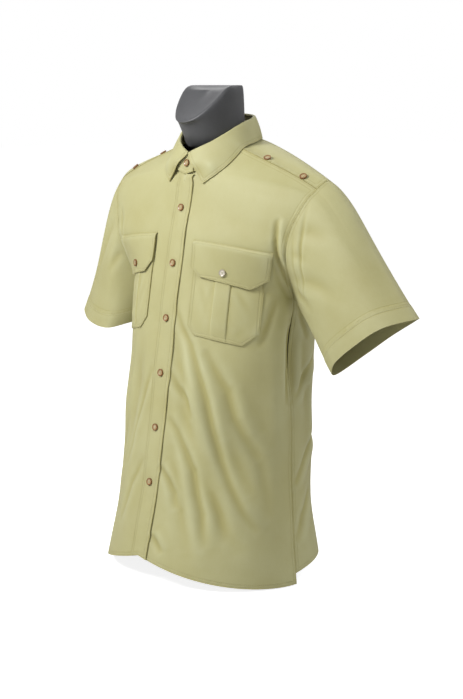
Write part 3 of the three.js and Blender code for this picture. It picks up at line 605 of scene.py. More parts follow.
def border_distance(points, borders):
    """Distance in millimetres from the nearest of the named borders of a grid."""
    up, across = lengths_along(points, 0), lengths_along(points, 1)
    found = {
        "low": up, "high": up[-1:] - up, "first": across, "last": across[:, -1:] - across,
    }
    far = np.full(points.shape[:2], FAR_FROM_BORDER)
    return np.min([far, *[found[name] for name in borders]], axis=0)


# Meshes


def select_only(piece):
    bpy.ops.object.select_all(action="DESELECT")
    piece.select_set(True)
    bpy.context.view_layer.objects.active = piece


def apply_modifier(piece, kind, **settings):
    select_only(piece)
    modifier = piece.modifiers.new(kind.title(), kind)
    for name, value in settings.items():
        setattr(modifier, name, value)
    bpy.ops.object.modifier_apply(modifier=modifier.name)


def new_piece(name, mesh, material):
    piece = bpy.data.objects.new(name, mesh)
    bpy.context.scene.collection.objects.link(piece)
    mesh.materials.append(material)
    return piece


def smooth(mesh):
    """Shade every face of a mesh smooth."""
    mesh.polygons.foreach_set("use_smooth", [True] * len(mesh.polygons))


# How many points away a hollow is measured, and the depth in millimetres that counts as full
HOLLOW_REACH = 3
HOLLOW_FULL = 1.3
SMOOTH_ANGLE = math.radians(50)
FACE_CORNERS = [(0, 0), (0, 1), (1, 1), (1, 0)]


def hollows(points, normals):
    """How deep in a trough each point of a grid lies: 1 in a full one, below 0 on a ridge. The twill paints
    shade by it.
    """
    rows, columns = points.shape[:2]
    reach, twice = HOLLOW_REACH, 2 * HOLLOW_REACH
    sides = np.pad(points, ((reach, reach), (reach, reach), (0, 0)), mode="reflect", reflect_type="odd")
    around = (
        sides[:rows, reach:reach + columns] + sides[twice:, reach:reach + columns]
        + sides[reach:reach + rows, :columns] + sides[reach:reach + rows, twice:]
    ) / 4
    return np.clip(((around - points) * normals).sum(-1) / HOLLOW_FULL, -1, 1)


def sheet_piece(name, points, normals, edge, material, wrap=False, thickness=None):
    """A thin closed shell whose outer face is a grid of points, with its own UV map and edge distance."""
    rows, columns = points.shape[:2]
    kept = columns - 1 if wrap else columns
    number = np.arange(rows * kept).reshape(rows, kept)
    if wrap:
        number = np.concatenate([number, number[:, :1]], axis=1)
    middle = (rows // 2, kept // 2)
    faces_normal = np.cross(
        points[middle[0], middle[1] + 1] - points[middle], points[middle[0] + 1, middle[1]] - points[middle],
    )
    corners = FACE_CORNERS if faces_normal @ normals[middle] >= 0 else FACE_CORNERS[::-1]
    pick = [(slice(r, rows - 1 + r), slice(c, columns - 1 + c)) for r, c in corners]
    faces = np.stack([number[where] for where in pick], axis=-1).reshape(-1, 4)
    mesh = bpy.data.meshes.new(name)
    mesh.from_pydata((points[:, :kept] * MM).reshape(-1, 3).tolist(), [], faces.tolist())
    across, up = lengths_along(points, 1), lengths_along(points, 0)
    flat = np.stack([across, up], axis=-1) * MM
    corner_uv = np.stack([flat[where] for where in pick], axis=2).reshape(-1, 2)
    mesh.uv_layers.new(name="cloth").data.foreach_set("uv", corner_uv.astype(np.float32).ravel())
    # The hollow attribute is the mask for the painted shade that the twill puts in the troughs
    for label, values in (("edge", edge * MM), ("hollow", hollows(points, normals))):
        attribute = mesh.attributes.new(label, "FLOAT", "POINT")
        attribute.data.foreach_set("value", values[:, :kept].astype(np.float32).ravel())
    piece = new_piece(name, mesh, material)
    thickness = thickness or bpy.context.scene.shirt_cloth.thickness
    apply_modifier(piece, "SOLIDIFY", thickness=thickness, offset=-1, use_even_offset=False)
    select_only(piece)
    bpy.ops.object.shade_smooth_by_angle(angle=SMOOTH_ANGLE)
    return piece


# Where a row's first stitch starts, in pitches, and how deep a stitch's ends lie, in radii
STITCH_START = 0.4
STITCH_SUNK = 0.6


def spindle_piece(name, paths, radius, length, pitch, thread):
    """One stitch after another along paths of points and normals, each a slim closed spindle."""
    verts, faces = [], []
    for points, normals in paths:
        along = lengths_along(points, 0)
        starts = np.arange(pitch * STITCH_START, along[-1] - length, pitch)
        for start in starts:
            ends = [
                np.array([np.interp(at, along, points[:, axis]) for axis in range(3)])
                for at in (start, start + length)
            ]
            normal = unit(np.array([np.interp(start, along, normals[:, axis]) for axis in range(3)]))
            direction = unit(ends[1] - ends[0])
            side = unit(np.cross(normal, direction))
            middle = (ends[0] + ends[1]) / 2
            base = len(verts)
            sunk = normal * radius * STITCH_SUNK
            verts += [
                ends[0] - sunk, ends[1] - sunk, middle + side * radius, middle + normal * radius,
                middle - side * radius, middle - normal * radius,
            ]
            for a, b in ((2, 3), (3, 4), (4, 5), (5, 2)):
                faces.append((base, base + b, base + a))
                faces.append((base + 1, base + a, base + b))
    mesh = bpy.data.meshes.new(name)
    mesh.from_pydata((np.array(verts) * MM).tolist(), [], faces)
    mesh.update()
    smooth(mesh)
    return new_piece(name, mesh, thread)


# Materials


class Wire:
    """A socket of a material, with Python's own operators for its Math nodes."""

    def __init__(self, tree, socket=None):
        self.tree = tree
        self.socket = socket

    def node(self, kind, inputs=(), output=0, **settings):
        """A new node's output. Settings are set first, then its inputs get values or wires."""
        made = self.tree.nodes.new(kind)
        for name, value in settings.items():
            setattr(made, name, value)
        for name, value in dict(inputs).items():
            if isinstance(value, Wire):
                self.tree.links.new(value.socket, made.inputs[name])
            else:
                made.inputs[name].default_value = value
        return Wire(self.tree, made.outputs[output])

    def maths(self, operation, first, second=0.0):
        return self.node("ShaderNodeMath", {0: first, 1: second}, operation=operation)

    def __add__(self, other):
        return self.maths("ADD", self, other)

    __radd__ = __add__

    def __sub__(self, other):
        return self.maths("SUBTRACT", self, other)

    def __rsub__(self, other):
        return self.maths("SUBTRACT", other, self)

    def __mul__(self, other):
        return self.maths("MULTIPLY", self, other)

    def __truediv__(self, other):
        return self.maths("DIVIDE", self, other)

    def __abs__(self):
        return self.maths("ABSOLUTE", self)

    def sine(self):
        return self.maths("SINE", self)

    def clamped(self):
        return self.node("ShaderNodeClamp", {"Value": self})

    def place(self):
        """Object coordinates of the piece."""
        return self.node("ShaderNodeTexCoord", output=3)

    def attribute(self, name):
        return self.node("ShaderNodeAttribute", output=2, attribute_name=name)

    def part(self, name):
        """One coordinate of a vector."""
        index = "XYZ".index(name)
        return self.node("ShaderNodeSeparateXYZ", {0: self}, output=index)

    def noise(self, scale, detail=2.0, roughness=0.5):
        return self.node("ShaderNodeTexNoise", {
            "Vector": self, "Scale": scale, "Detail": detail, "Roughness": roughness,
        })


def blended(factor, first, second):
    """A colour between two colours, each a wire or three numbers."""
    first, second = [colour if isinstance(colour, Wire) else (*colour, 1) for colour in (first, second)]
    return factor.node("ShaderNodeMix", {0: factor, 6: first, 7: second}, output=2, data_type="RGBA")


def darker(colour, share):
    return [value * share for value in colour]


def new_material(name, roughness, specular=0.3, sheen=0.0):
    """A material whose shader has its plain sockets set, with that shader and a first wire."""
    material = bpy.data.materials.new(name)
    material.use_nodes = True
    shader = material.node_tree.nodes["Principled BSDF"]
    shader.inputs["Roughness"].default_value = roughness
    shader.inputs["Specular IOR Level"].default_value = specular
    shader.inputs["Sheen Weight"].default_value = sheen
    shader.inputs["Sheen Roughness"].default_value = 0.5
    return material, shader, Wire(material.node_tree)


def plug(wire, shader, name):
    wire.tree.links.new(wire.socket, shader.inputs[name])


def bump(height, strength, distance):
    return height.node("ShaderNodeBump", {"Strength": strength, "Distance": distance, "Height": height})


TWILL_PITCH = 0.9 * MM
TWILL_SLANT = 1.35
# Lines of stitches by an edge, the width pressed down and given painted shade beside each, the reach of the
# pucker, and the width of the painted shadow along each edge
STITCH_LINES = (1.6 * MM, 6.2 * MM)
PRESSED_WIDTH = 1.1 * MM
PUCKER_REACH = 9 * MM
EDGE_SHADE_WIDTH = 0.9 * MM


def twill_material():
    """Cotton twill: fine slanted ribs, soft mottling, and a pressed line where each seam is stitched, with
    painted shade on that line, along each edge and in the troughs, and painted highlight and shade in the
    puckers by the seams.
    """
    cloth = bpy.context.scene.shirt_cloth
    material, shader, start = new_material("khaki_twill", 0.62, specular=0.40, sheen=0.06)
    flat = start.node("ShaderNodeUVMap", uv_map="cloth")
    place = start.place()
    edge = start.attribute("edge")
    hollow = start.attribute("hollow")
    ribs = ((flat.part("X") + flat.part("Y") * TWILL_SLANT) * (2 * math.pi / TWILL_PITCH)).sine()
    yarn = place.noise(900.0, 1.0)
    mottle = place.noise(9.0, 4.0, 0.62)
    slub = flat.node("ShaderNodeMapping", {"Vector": flat, "Scale": (1400.0, 60.0, 1.0)}).noise(1.0, 2.0)
    pucker = flat.noise(130.0, 2.0)
    outer, inner = [(1 - abs(edge - line) / PRESSED_WIDTH).clamped() for line in STITCH_LINES]
    pressed = outer + inner
    by_seam = (1 - edge / PUCKER_REACH).clamped()
    rim = (1 - edge / EDGE_SHADE_WIDTH).clamped()
    tone = ((mottle - 0.5) * 0.9 + (yarn - 0.5) * 0.25 + (slub - 0.5) * 0.22 + ribs * 0.05 + 0.45).clamped()
    # Painted shade: darker on the stitch lines, along each edge and in the troughs; the pucker noise paints
    # highlight and shade beside the seams
    tone = tone * 0.9 - pressed * 0.34 + (pucker - 0.5) * by_seam * 0.6 - rim * 0.5 - hollow * 0.42
    plug(blended(tone.clamped(), cloth.shade, cloth.colour), shader, "Base Color")
    plug((0.50 + mottle * 0.14).clamped(), shader, "Roughness")
    height = ribs * 0.10 + yarn * 0.12 + slub * 0.10 - pressed * 1.6 + pucker * by_seam * 4.6 + mottle * 0.6
    plug(bump(height, 0.55, 0.35 * MM), shader, "Normal")
    return material


def thread_material():
    """Sewing thread, a little uneven in shade."""
    trim = bpy.context.scene.shirt_trim
    material, shader, start = new_material("sewing_thread", 0.6, specular=0.3, sheen=0.2)
    shade = start.place().noise(700.0, 1.0)
    plug(blended(shade, darker(trim.thread, 0.8), trim.thread), shader, "Base Color")
    plug(0.55 + shade * 0.2, shader, "Roughness")
    return material


def horn_material(name, colour, pale):
    """Polished horn-like button, cloudy, with a paler dish."""
    material, shader, start = new_material(name, 0.22, specular=0.5)
    cloud = start.place().noise(420.0, 3.0, 0.6)
    base = blended(cloud, darker(colour, 0.62), colour)
    plug(blended(start.attribute("dish") * 0.85, base, pale), shader, "Base Color")
    plug(0.18 + cloud * 0.16, shader, "Roughness")
    plug(bump(cloud, 0.15, 0.1 * MM), shader, "Normal")
    return material


def form_material():
    """Dark grey jersey cover of the form: a fine knit, paler in random patches."""
    stage = bpy.context.scene.shirt_stage
    material, shader, start = new_material("form_jersey", 0.5, specular=0.5, sheen=0.08)
    knit = start.place().noise(1100.0, 1.0)
    cloud = start.place().noise(14.0, 3.0)
    tone = ((knit - 0.5) * 0.5 + cloud).clamped()
    plug(blended(tone, darker(stage.form, 0.72), darker(stage.form, 1.35)), shader, "Base Color")
    plug(0.40 + cloud * 0.16, shader, "Roughness")
    plug(bump(knit, 0.25, 0.2 * MM), shader, "Normal")
    return material


# The shirt's own state, which the operators share

panels = {}
grids = {}
materials = {}
stitch_paths = {"body": [], "placket": [], "pockets": [], "collar": [], "sleeves": []}
FORM_AXIS = np.array([0, 0, 360.0])


def shared_material(name, make, *values):
    """A material by name, made the first time it is asked for."""
    if name not in materials:
        materials[name] = make(*values)
    return materials[name]


def declare(piece, node=None):
    """Attach a piece to the body it rides, and hide the node it stands for if any."""
    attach(piece, ROOT)
    if node:
        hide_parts(node)


def sew(group, node, points, normals, edge, rests_on, held="draped", **shell):
    """Make a node's sheet of cloth and lay its rows of stitches."""
    twill = shared_material("twill", twill_material)
    piece = sheet_piece(f"cloth_{node}", points, normals, edge, twill, **shell)
    declare(piece, node)
    for border, inset in SEAMS[node.removesuffix("_left").removesuffix("_right")]:
        line, line_normals = inset_line(points, normals, border, inset)
        stitch_paths[group].append((line + line_normals * THREAD_LIFT, line_normals))


def pull_back(points, border):
    """Moves one border of a grid back by half a seam gap."""
    axis, line, inner = BORDERS[border]
    turned = points.swapaxes(0, axis)
    turned[line] += unit(turned[inner] - turned[line]) * SEAM_GAP / 2


def seam_raise(edge, width, rise):
    """Extra height near a border, where the allowances make the cloth thicker."""
    return rise * ease((width - edge) / RAISE_FADE)


def lifted(points, lift):
    """A grid on the body moved out by a lift at each point, with its new normals."""
    points = points + grid_normals(points, FORM_AXIS) * lift[..., None]
    return points, grid_normals(points, FORM_AXIS)


def inset_line(points, normals, border, inset):
    """The line at a distance from one border of a grid, with its normals."""
    axis, line, _ = BORDERS[border]
    way = 1 if line == 0 else -1
    lengths = lengths_along(points, axis).swapaxes(0, axis)
    if way < 0:
        lengths = lengths[-1:] - lengths[::-1]
    found = []
    for table in (points, normals):
        table = table.swapaxes(0, axis)[::way]
        found.append(np.array([
            [np.interp(inset, lengths[:, column], table[:, column, part]) for part in range(3)]
            for column in range(table.shape[1])
        ]))
    return found[0], unit(found[1])


class SHIRT_OT_body(bpy.types.Operator):
    """Make the two fronts, the back and the yoke"""

    bl_idname = "shirt.body"
    bl_label = "Body panels"

    def execute(self, context):
        for name, side in (("left", 1), ("right", -1)):
            panels[f"front_{name}"] = Panel(FRONT_ROWS, side, 1, ARMPIT_ROW)
            panels[f"back_{name}"] = Panel(BACK_ROWS, side, -1, ARMPIT_ROW)
            panels[f"yoke_{name}"] = Panel(YOKE_ROWS, side, 1)
        for name, edge in (("left", LEFT_FRONT_EDGE), ("right", RIGHT_FRONT_EDGE)):
            points = panels[f"front_{name}"].grid(FRONT_STEPS, FRONT_COLUMNS, edge)
            self.finish_panel(f"front_{name}", points, ["last", "high"])
        for kind, steps in (("back", BACK_STEPS), ("yoke", YOKE_STEPS)):
            right, left = [panels[f"{kind}_{name}"].grid(steps, HALF_COLUMNS) for name in ("right", "left")]
            if kind == "yoke":
                pull_back(right, "low")
                pull_back(left, "low")
            points = np.concatenate([right[:, :0:-1], left], axis=1)
            self.finish_panel(kind, points, ["first", "last", "high"])
        return {"FINISHED"}

    @staticmethod
    def finish_panel(name, points, seams):
        """Sew a panel. Its borders at the seams are first moved a little apart from the next panels'."""
        for border in seams:
            pull_back(points, border)
        normals = grid_normals(points, FORM_AXIS)
        edge = border_distance(points, ["low", *seams])
        if name == "yoke":
            raised = seam_raise(border_distance(points, ["low", "high"]), YOKE_SEAM, YOKE_RISE)
            points = points + normals * raised[..., None]
        grids[name] = points
        sew("body", name, points, normals, edge, ["dress_form"])


class SHIRT_OT_sleeves(bpy.types.Operator):
    """Make the two short sleeves, from the armholes to their turned hems"""

    bl_idname = "shirt.sleeves"
    bl_label = "Sleeves"

    def execute(self, context):
        for name in SLEEVES:
            self.sleeve(name)
        return {"FINISHED"}

    @staticmethod
    def armhole(name):
        """The loop of points from under the arm up the front, over the shoulder and down the back."""
        column = -1 if name == "left" else 0
        front_from = int(np.searchsorted(divided(FRONT_STEPS), ARMPIT_ROW))
        back_from = int(np.searchsorted(divided(BACK_STEPS), ARMPIT_ROW))
        points = np.concatenate([
            grids[f"front_{name}"][front_from:-1, -1], grids["yoke"][:-1, column],
            grids["back"][back_from:, column][::-1],
        ])
        softer = np.stack([soften(points[:, axis]) for axis in range(3)], axis=-1)
        points[2:-2] = softer[2:-2]
        return points

    def sleeve(self, name):
        """Sew one sleeve, as curves that leave the armhole and arrive at the cuff."""
        sleeve = SLEEVES[name]
        seam = self.armhole(name)
        rounds = lengths_along(seam, 0)
        rounds = rounds / rounds[-1]
        upper = ((1 - np.cos(2 * np.pi * rounds)) / 2)[:, None]
        ends = self.cuff(sleeve["cuff"], rounds)
        leave, arrive = [
            np.array(sleeve[below]) * (1 - upper) + np.array(sleeve[above]) * upper
            for below, above in (("under_handle", "cap_handle"), ("cuff_under_handle", "cuff_top_handle"))
        ]
        controls = np.array([seam, seam + leave, ends + arrive, ends])
        start = np.array(ARMHOLE_CENTRE) * [sleeve["side"], 1, 1]
        cuff_middle = (np.array(sleeve["cuff"][0]) + np.array(sleeve["cuff"][4])) / 2
        axis = unit(cuff_middle - start)
        rows = []
        for part in np.arange(SLEEVE_STEPS + 1) / SLEEVE_STEPS:
            points, _ = bezier(controls, np.full(len(seam), part))
            middle = seam * (1 - part) + ends * part
            centre = start + axis * ((middle - start) @ axis)[:, None]
            away = unit(points - centre)
            height = np.full(len(seam), part * SLEEVE_LENGTH)
            lift = fold_lift(sleeve["folds"], rounds, height, SLEEVE_GIRTH)
            waves = [np.sin(2 * np.pi * rounds * count + part * turn) for count, turn in SLEEVE_WAVES]
            lift += SLEEVE_SWELL * np.prod(waves, axis=0)
            rows.append(points + away * (lift * min(1, part / SLEEVE_SETTLE))[:, None])
        points = np.array(rows)
        points[:, -1] = points[:, 0]
        pull_back(points, "low")
        normals = grid_normals(points, start + axis * SLEEVE_MIDDLE)
        normals[:, 0] = normals[:, -1] = unit((normals[:, 0] + normals[:, -1]) / 2)
        from_cuff = border_distance(points, ["high"])
        points = points + normals * seam_raise(from_cuff, SLEEVE_HEM, HEM_RISE)[..., None]
        from_hem = np.abs(from_cuff - SLEEVE_HEM - HEM_LINE) + HEM_LINE
        edge = np.minimum(border_distance(points, ["low"]), from_hem)
        sew("sleeves", f"sleeve_{name}", points, normals, edge, ["cloth_yoke"], held="hung", wrap=True)

    @staticmethod
    def cuff(corners, rounds):
        """Points of the cuff's closed smooth loop at parts of the way round."""
        corners = np.array(corners, float)
        count = len(corners)
        fine = np.array([
            through([corners[(n + step) % count] for step in (-1, 0, 1, 2)], part)
            for n in range(count) for part in np.linspace(0, 1, CUFF_STEPS, endpoint=False)
        ])
        fine = np.concatenate([fine, fine[:1]])
        along = lengths_along(fine, 0)
        return np.stack([np.interp(rounds * along[-1], along, fine[:, axis]) for axis in range(3)], axis=-1)


class SHIRT_OT_placket(bpy.types.Operator):
    """Make the placket band down the front, its free edge a little proud between the buttons"""

    bl_idname = "shirt.placket"
    bl_label = "Placket"

    def execute(self, context):
        levels = divided(FRONT_STEPS)
        levels = levels[levels <= PIT_ROW]
        distances = np.linspace(-BAND_HALF_WIDTH, BAND_HALF_WIDTH, BAND_COLUMNS + 1)
        points = np.array([self.row(level, distances) for level in levels])
        height = points[:, :1, 2]
        from_button = np.min([np.abs(height - at) for at in BUTTON_HEIGHTS], axis=0)
        gape = GAPE_AT_BUTTON + GAPE_BETWEEN * ease((from_button - GAPE_START) / GAPE_FADE)
        free = ease((distances - FREE_START) / FREE_FADE)[None, :]
        by_button = np.exp(-((from_button / DIMPLE_WIDTH) ** 2))
        dimple = -DIMPLE_DEPTH * by_button * np.exp(-((distances / DIMPLE_WIDTH) ** 2))[None, :]
        points, normals = lifted(points, LAYER + gape * free + dimple)
        edge = border_distance(points, ["low", "first", "last"])
        sew("placket", "placket_band", points, normals, edge, ["cloth_front_right", "cloth_front_left"])
        return {"FINISHED"}

    @staticmethod
    def row(level, distances):
        """One row of the band, from the right front across the centre to the left one."""
        right = panels["front_right"].points(level, -distances[distances < 0])
        left = panels["front_left"].points(level, distances[distances >= 0])
        return np.concatenate([right, left])


def stepped(stops, counts):
    """Values from stop to stop, with a number of even steps between each two."""
    spans = [np.linspace(near, far, count + 1)[1:] for near, far, count in zip(stops, stops[1:], counts)]
    return np.concatenate([stops[:1], *spans])


def across_parts(distances):
    """How far across its patch each column lies, from 0 to 1."""
    return (distances - distances[:, :1]) / (distances[:, -1:] - distances[:, :1])


def pleat_sides(name):
    return PLEATS[name] - PLEAT_WIDTH / 2, PLEATS[name] + PLEAT_WIDTH / 2


class SHIRT_OT_pockets(bpy.types.Operator):
    """Make the breast pockets with their box pleats, and the flaps over them"""

    bl_idname = "shirt.pockets"
    bl_label = "Pockets and flaps"

    def execute(self, context):
        for name in ("left", "right"):
            self.pocket(name)
            self.flap(name)
        return {"FINISHED"}

    @staticmethod
    def columns(shape, name, level, low):
        """Distances of a pocket's or flap's columns at a level, with closer ones at the pleat's sides."""
        edges = np.array(shape["edges"], float)
        ends = []
        for column, sign, (cut, rows) in zip((1, 2), (1, -1), shape["cuts"]):
            edge = np.interp(level, edges[:, 0], edges[:, column])
            ends.append(edge + sign * cut * max(0, 1 - (level - low) / rows))
        start, end = pleat_sides(name)
        return stepped([ends[0], start - PLEAT_SIDE, start, end, end + PLEAT_SIDE, ends[1]], PATCH_COLUMNS)

    def patch(self, name, shape, rows, steps):
        """The part of a front that a pocket or flap covers, with its lower corners cut off."""
        low, high = rows
        first, second = sorted(cut_rows for _, cut_rows in shape["cuts"])
        levels = stepped([low, low + first, low + second, high], [*CORNER_STEPS, steps])
        distances = np.array([self.columns(shape, name, level, low) for level in levels])
        panel = panels[f"front_{name}"]
        straight, above = [
            np.array([panel.points(level + add, row) for level, row in zip(levels, distances)])
            for add in (0, TILT_REACH)
        ]
        inner, outer = shape.get("tilt", (0, 0))
        rise = (inner + (outer - inner) * across_parts(distances)) * ((levels - low) / (high - low))[:, None]
        points = straight + (above - straight) * (rise / TILT_REACH)[..., None]
        return points, distances, levels[:, None]

    def pocket(self, name):
        """Sew one pocket: its box pleat, the groove beside it, and its soft belly below the flap."""
        points, distances, levels = self.patch(name, POCKETS[name], POCKET_ROWS, POCKET_STEPS)
        start, end = pleat_sides(name)
        pleat = ease((distances - start + PLEAT_SIDE) / PLEAT_SIDE)
        pleat = pleat * ease((end + PLEAT_SIDE - distances) / PLEAT_SIDE)
        opened = ease((levels - POCKET_ROWS[0]) / POCKET_OPENS)
        depth, beside, width = PLEAT_GROOVE
        groove = -depth * np.exp(-(((distances - end - beside) / width) ** 2))
        spread = across_parts(distances)
        swollen = np.sin(np.pi * spread)
        sag = POCKET_SAG * np.sin(np.pi * spread * 3 + 4 * levels) * swollen
        below_flap = ease((FLAP_ROWS[0] - levels) / POCKET_FADES)
        belly = (POCKET_BELLY * swollen + sag) * opened * below_flap
        above = (levels - POCKET_ROWS[0]) * ROW_RISE
        pulls = fold_lift(POCKET_PULLS, distances - PLEATS[name], above, 1) * swollen * below_flap
        raised = PLEAT_RISE * pleat * (PLEAT_SHUT + (1 - PLEAT_SHUT) * opened)
        points, normals = lifted(points, LAYER + raised + groove * opened + belly + pulls)
        edge = border_distance(points, ["low", "first", "last"])
        sew("pockets", f"pocket_{name}", points, normals, edge, [f"cloth_front_{name}"])

    def flap(self, name):
        """Sew one flap, folded down over its pocket from the seam along its top."""
        points, distances, levels = self.patch(name, FLAPS[name], FLAP_ROWS, FLAP_STEPS)
        down = ease((FLAP_ROWS[1] - levels) / FLAP_FOLDS)
        spread = across_parts(distances)
        low_down = ease((FLAP_ROWS[0] + FLAP_CURLS - levels) / FLAP_CURLS)
        curl = FLAP_CURL * np.abs(2 * spread - 1) ** 3 * low_down
        belly = FLAP_BELLY * np.sin(np.pi * spread)
        points, normals = lifted(points, LAYER + (LAYER + FLAP_PROUD + belly + curl) * down)
        edge = border_distance(points, ["low", "first", "last", "high"])
        sew("pockets", f"flap_{name}", points, normals, edge, [f"cloth_pocket_{name}"])


def by_angle(table, angle, column):
    """A value from a table whose first column is an angle up to 180, alike on both sides."""
    table = np.array(table, float)
    angle = np.abs((np.asarray(angle, float) + 540) % 360 - 180)
    return np.interp(angle, table[:, 0], table[:, column])


def collar_points(angle, radius, height):
    turn = np.radians(angle)
    return np.stack(
        [radius * np.sin(turn), COLLAR_CENTRE_Y - radius * np.cos(turn), height + 0 * turn], axis=-1,
    )


class SHIRT_OT_collar(bpy.types.Operator):
    """Make the collar's stand and its fall, rolled over the stand and down to its points"""

    bl_idname = "shirt.collar"
    bl_label = "Collar"

    def execute(self, context):
        self.stand()
        self.fall()
        return {"FINISHED"}

    @staticmethod
    def neckline():
        """The neckline as a table of angle, radius and height."""
        front = [panels["front_left"].points(level, [0])[0] for level in NECK_FRONT_ROWS]
        yoke = [panels["yoke_left"].points(level, [0])[0] for level in NECK_YOKE_ROWS]
        rows = []
        for x, y, z in front + yoke:
            x, y = abs(x), COLLAR_CENTRE_Y - y
            rows.append([math.degrees(math.atan2(x, y)), math.hypot(x, y), z])
        return rows

    def stand(self):
        """Sew the stand, whose two ends lie one over the other at the front."""
        neckline = self.neckline()
        angles = np.linspace(*STAND_ENDS, STAND_COLUMNS)
        over = ease((angles - STAND_OVER[0]) / STAND_OVER[1]) * STAND_RISE
        under = ease((STAND_UNDER[0] - angles) / STAND_UNDER[1]) * STAND_RISE
        base_radius = by_angle(neckline, angles, 1) - SEAM_GAP
        base_height = by_angle(neckline, angles, 2) + 2 * SEAM_GAP
        top = by_angle(COLLAR_TOP, angles, 1) - STAND_DROP - over - under
        rows = []
        for part in np.linspace(0, 1, STAND_ROWS):
            radius = base_radius * (1 - part) + COLLAR_RADIUS * part + over
            rows.append(collar_points(angles, radius, base_height * (1 - part) + top * part))
        points = np.array(rows)
        normals = grid_normals(points, COLLAR_MIDDLE)
        edge = border_distance(points, ["low", "first", "last"])
        sew("collar", "collar_stand", points, normals, edge, ["cloth_yoke"])

    def fall(self):
        """Sew the fall: over the roll at the stand's top, then down until it clears the cloth below."""
        steps = np.linspace(0, 1, FALL_COLUMNS + 1)
        tip = FALL_EDGE[0][0]
        roll_angles = FALL_ROLL_START + (360 - 2 * FALL_ROLL_START) * steps
        angles = tip + (360 - 2 * tip) * steps
        rolls = [
            collar_points(roll_angles, COLLAR_RADIUS + out, by_angle(COLLAR_TOP, roll_angles, 1) + up)
            for out, up in FALL_ROLL
        ]
        edges = collar_points(angles, by_angle(FALL_EDGE, angles, 1), by_angle(FALL_EDGE, angles, 2))
        body = [tree_of(f"cloth_{name}") for name in ("front_left", "front_right", "back", "yoke")]
        lowers = []
        tips = ease((TIP_SHARE - np.minimum(steps, 1 - steps)) / TIP_FADE)
        for part, clearance in zip(FALL_LOWER_PARTS, FALL_CLEARANCES):
            row = rolls[-1] * (1 - part) + edges * part
            outward = unit((row - [0, COLLAR_CENTRE_Y, 0]) * [1, 1, 0])
            row = row + outward * FALL_BOW * math.sin(math.pi * part)
            row = row - outward * (soften(gaps_behind(body, row, outward)) * tips * part)[:, None]
            floor = np.array([height_under(body, point) for point in row]) + clearance
            row[:, 2] = np.maximum(row[:, 2], soften(floor))
            lowers.append(row)
        controls = [*rolls, *lowers]
        rows = []
        for n in range(len(controls) - 1):
            four = [controls[min(max(n + step, 0), len(controls) - 1)] for step in (-1, 0, 1, 2)]
            count = ROLL_STEPS if n < len(FALL_ROLL) - 1 else DROP_STEPS
            rows += [through(four, part) for part in np.linspace(0, 1, count, endpoint=False)]
        points = np.array([*rows, controls[-1]])
        normals = grid_normals(points, COLLAR_MIDDLE)
        edge = border_distance(points, ["first", "last", "high"])
        sew(
            "collar", "collar_fall", points, normals, edge, ["cloth_collar_stand"], held="folded",
            thickness=FALL_THICKNESS,
        )


def tree_of(name):
    piece = bpy.data.objects[name]
    return BVHTree.FromObject(piece, bpy.context.evaluated_depsgraph_get())


def height_under(trees, point):
    """Height of the cloth straight below the top of a point's column, in millimetres."""
    origin = Vector((point[0] * MM, point[1] * MM, 1.0))
    heights = [tree.ray_cast(origin, Vector((0, 0, -1)))[0] for tree in trees]
    heights = [hit.z / MM for hit in heights if hit]
    return max(heights, default=-1000.0)


def gaps_behind(trees, points, outward):
    """Spare room between each point and the cloth level with it behind, in millimetres."""
    gaps = []
    for point, way in zip(points, outward):
        falls = [tree.ray_cast(Vector(point * MM), Vector(-way), TIP_REACH * MM)[3] for tree in trees]
        falls = [fall / MM for fall in falls if fall is not None]
        gaps.append(max(0.0, min(falls) - TIP_GAP) if falls else 0.0)
    return np.array(gaps)


def soften(values, reach=3):
    """A running mean, in which the first and last values carry on past the ends."""
    padded = np.pad(values, reach, mode="edge")
    kernel = np.ones(2 * reach + 1) / (2 * reach + 1)
    return np.convolve(padded, kernel, mode="valid")


class SHIRT_OT_stitching(bpy.types.Operator):
    """Sew every seam and edge with rows of single stitches"""

    bl_idname = "shirt.stitching"
    bl_label = "Stitching"

    def execute(self, context):
        trim = context.scene.shirt_trim
        thread = shared_material("thread", thread_material)
        sizes = [size / MM for size in (trim.thread_radius, trim.stitch, trim.stitch_pitch)]
        for group, paths in stitch_paths.items():
            declare(spindle_piece(f"stitches_{group}", paths, *sizes, thread))
        return {"FINISHED"}


# How far from its middle a button looks for the cloth, and the gap that its shank leaves
BUTTON_REACH = 12 * MM
BUTTON_GAP = 0.45 * MM
BUTTON_HEIGHT = 2.3 * MM
# The dish: each step in from the rim and down, then the width of the rim that keeps its own colour
DISH_STEPS = [(1.1 * MM, 0), (0.9 * MM, -0.7 * MM), (0.5 * MM, -0.1 * MM)]
RIM_COLOURED = 1.75 * MM
DISH_FADE = 0.5 * MM
DISH_HEIGHT = 1.2 * MM
HOLE_PLACE = 1.15 * MM
HOLE_RADIUS = 0.72 * MM
HOLE_SIDES = 14
HOLE_CUT = 6 * MM
RIM_BEVEL = 0.3 * MM
RIM_ANGLE = math.radians(40)
BAR_RADIUS = 0.42 * MM
BAR_LENGTH = 3.3 * MM
BAR_HEIGHT = 1.55 * MM
SHANK_FOOT = 1.9 * MM
SHANK_TOP = 1.6 * MM
SHANK_LENGTH = 1.9 * MM
SHANK_MIDDLE = -0.35 * MM
# A button faces away from the middle of the body, and above this height in metres a little upwards too
LEAN_ABOVE = 0.64
LEAN = 0.12


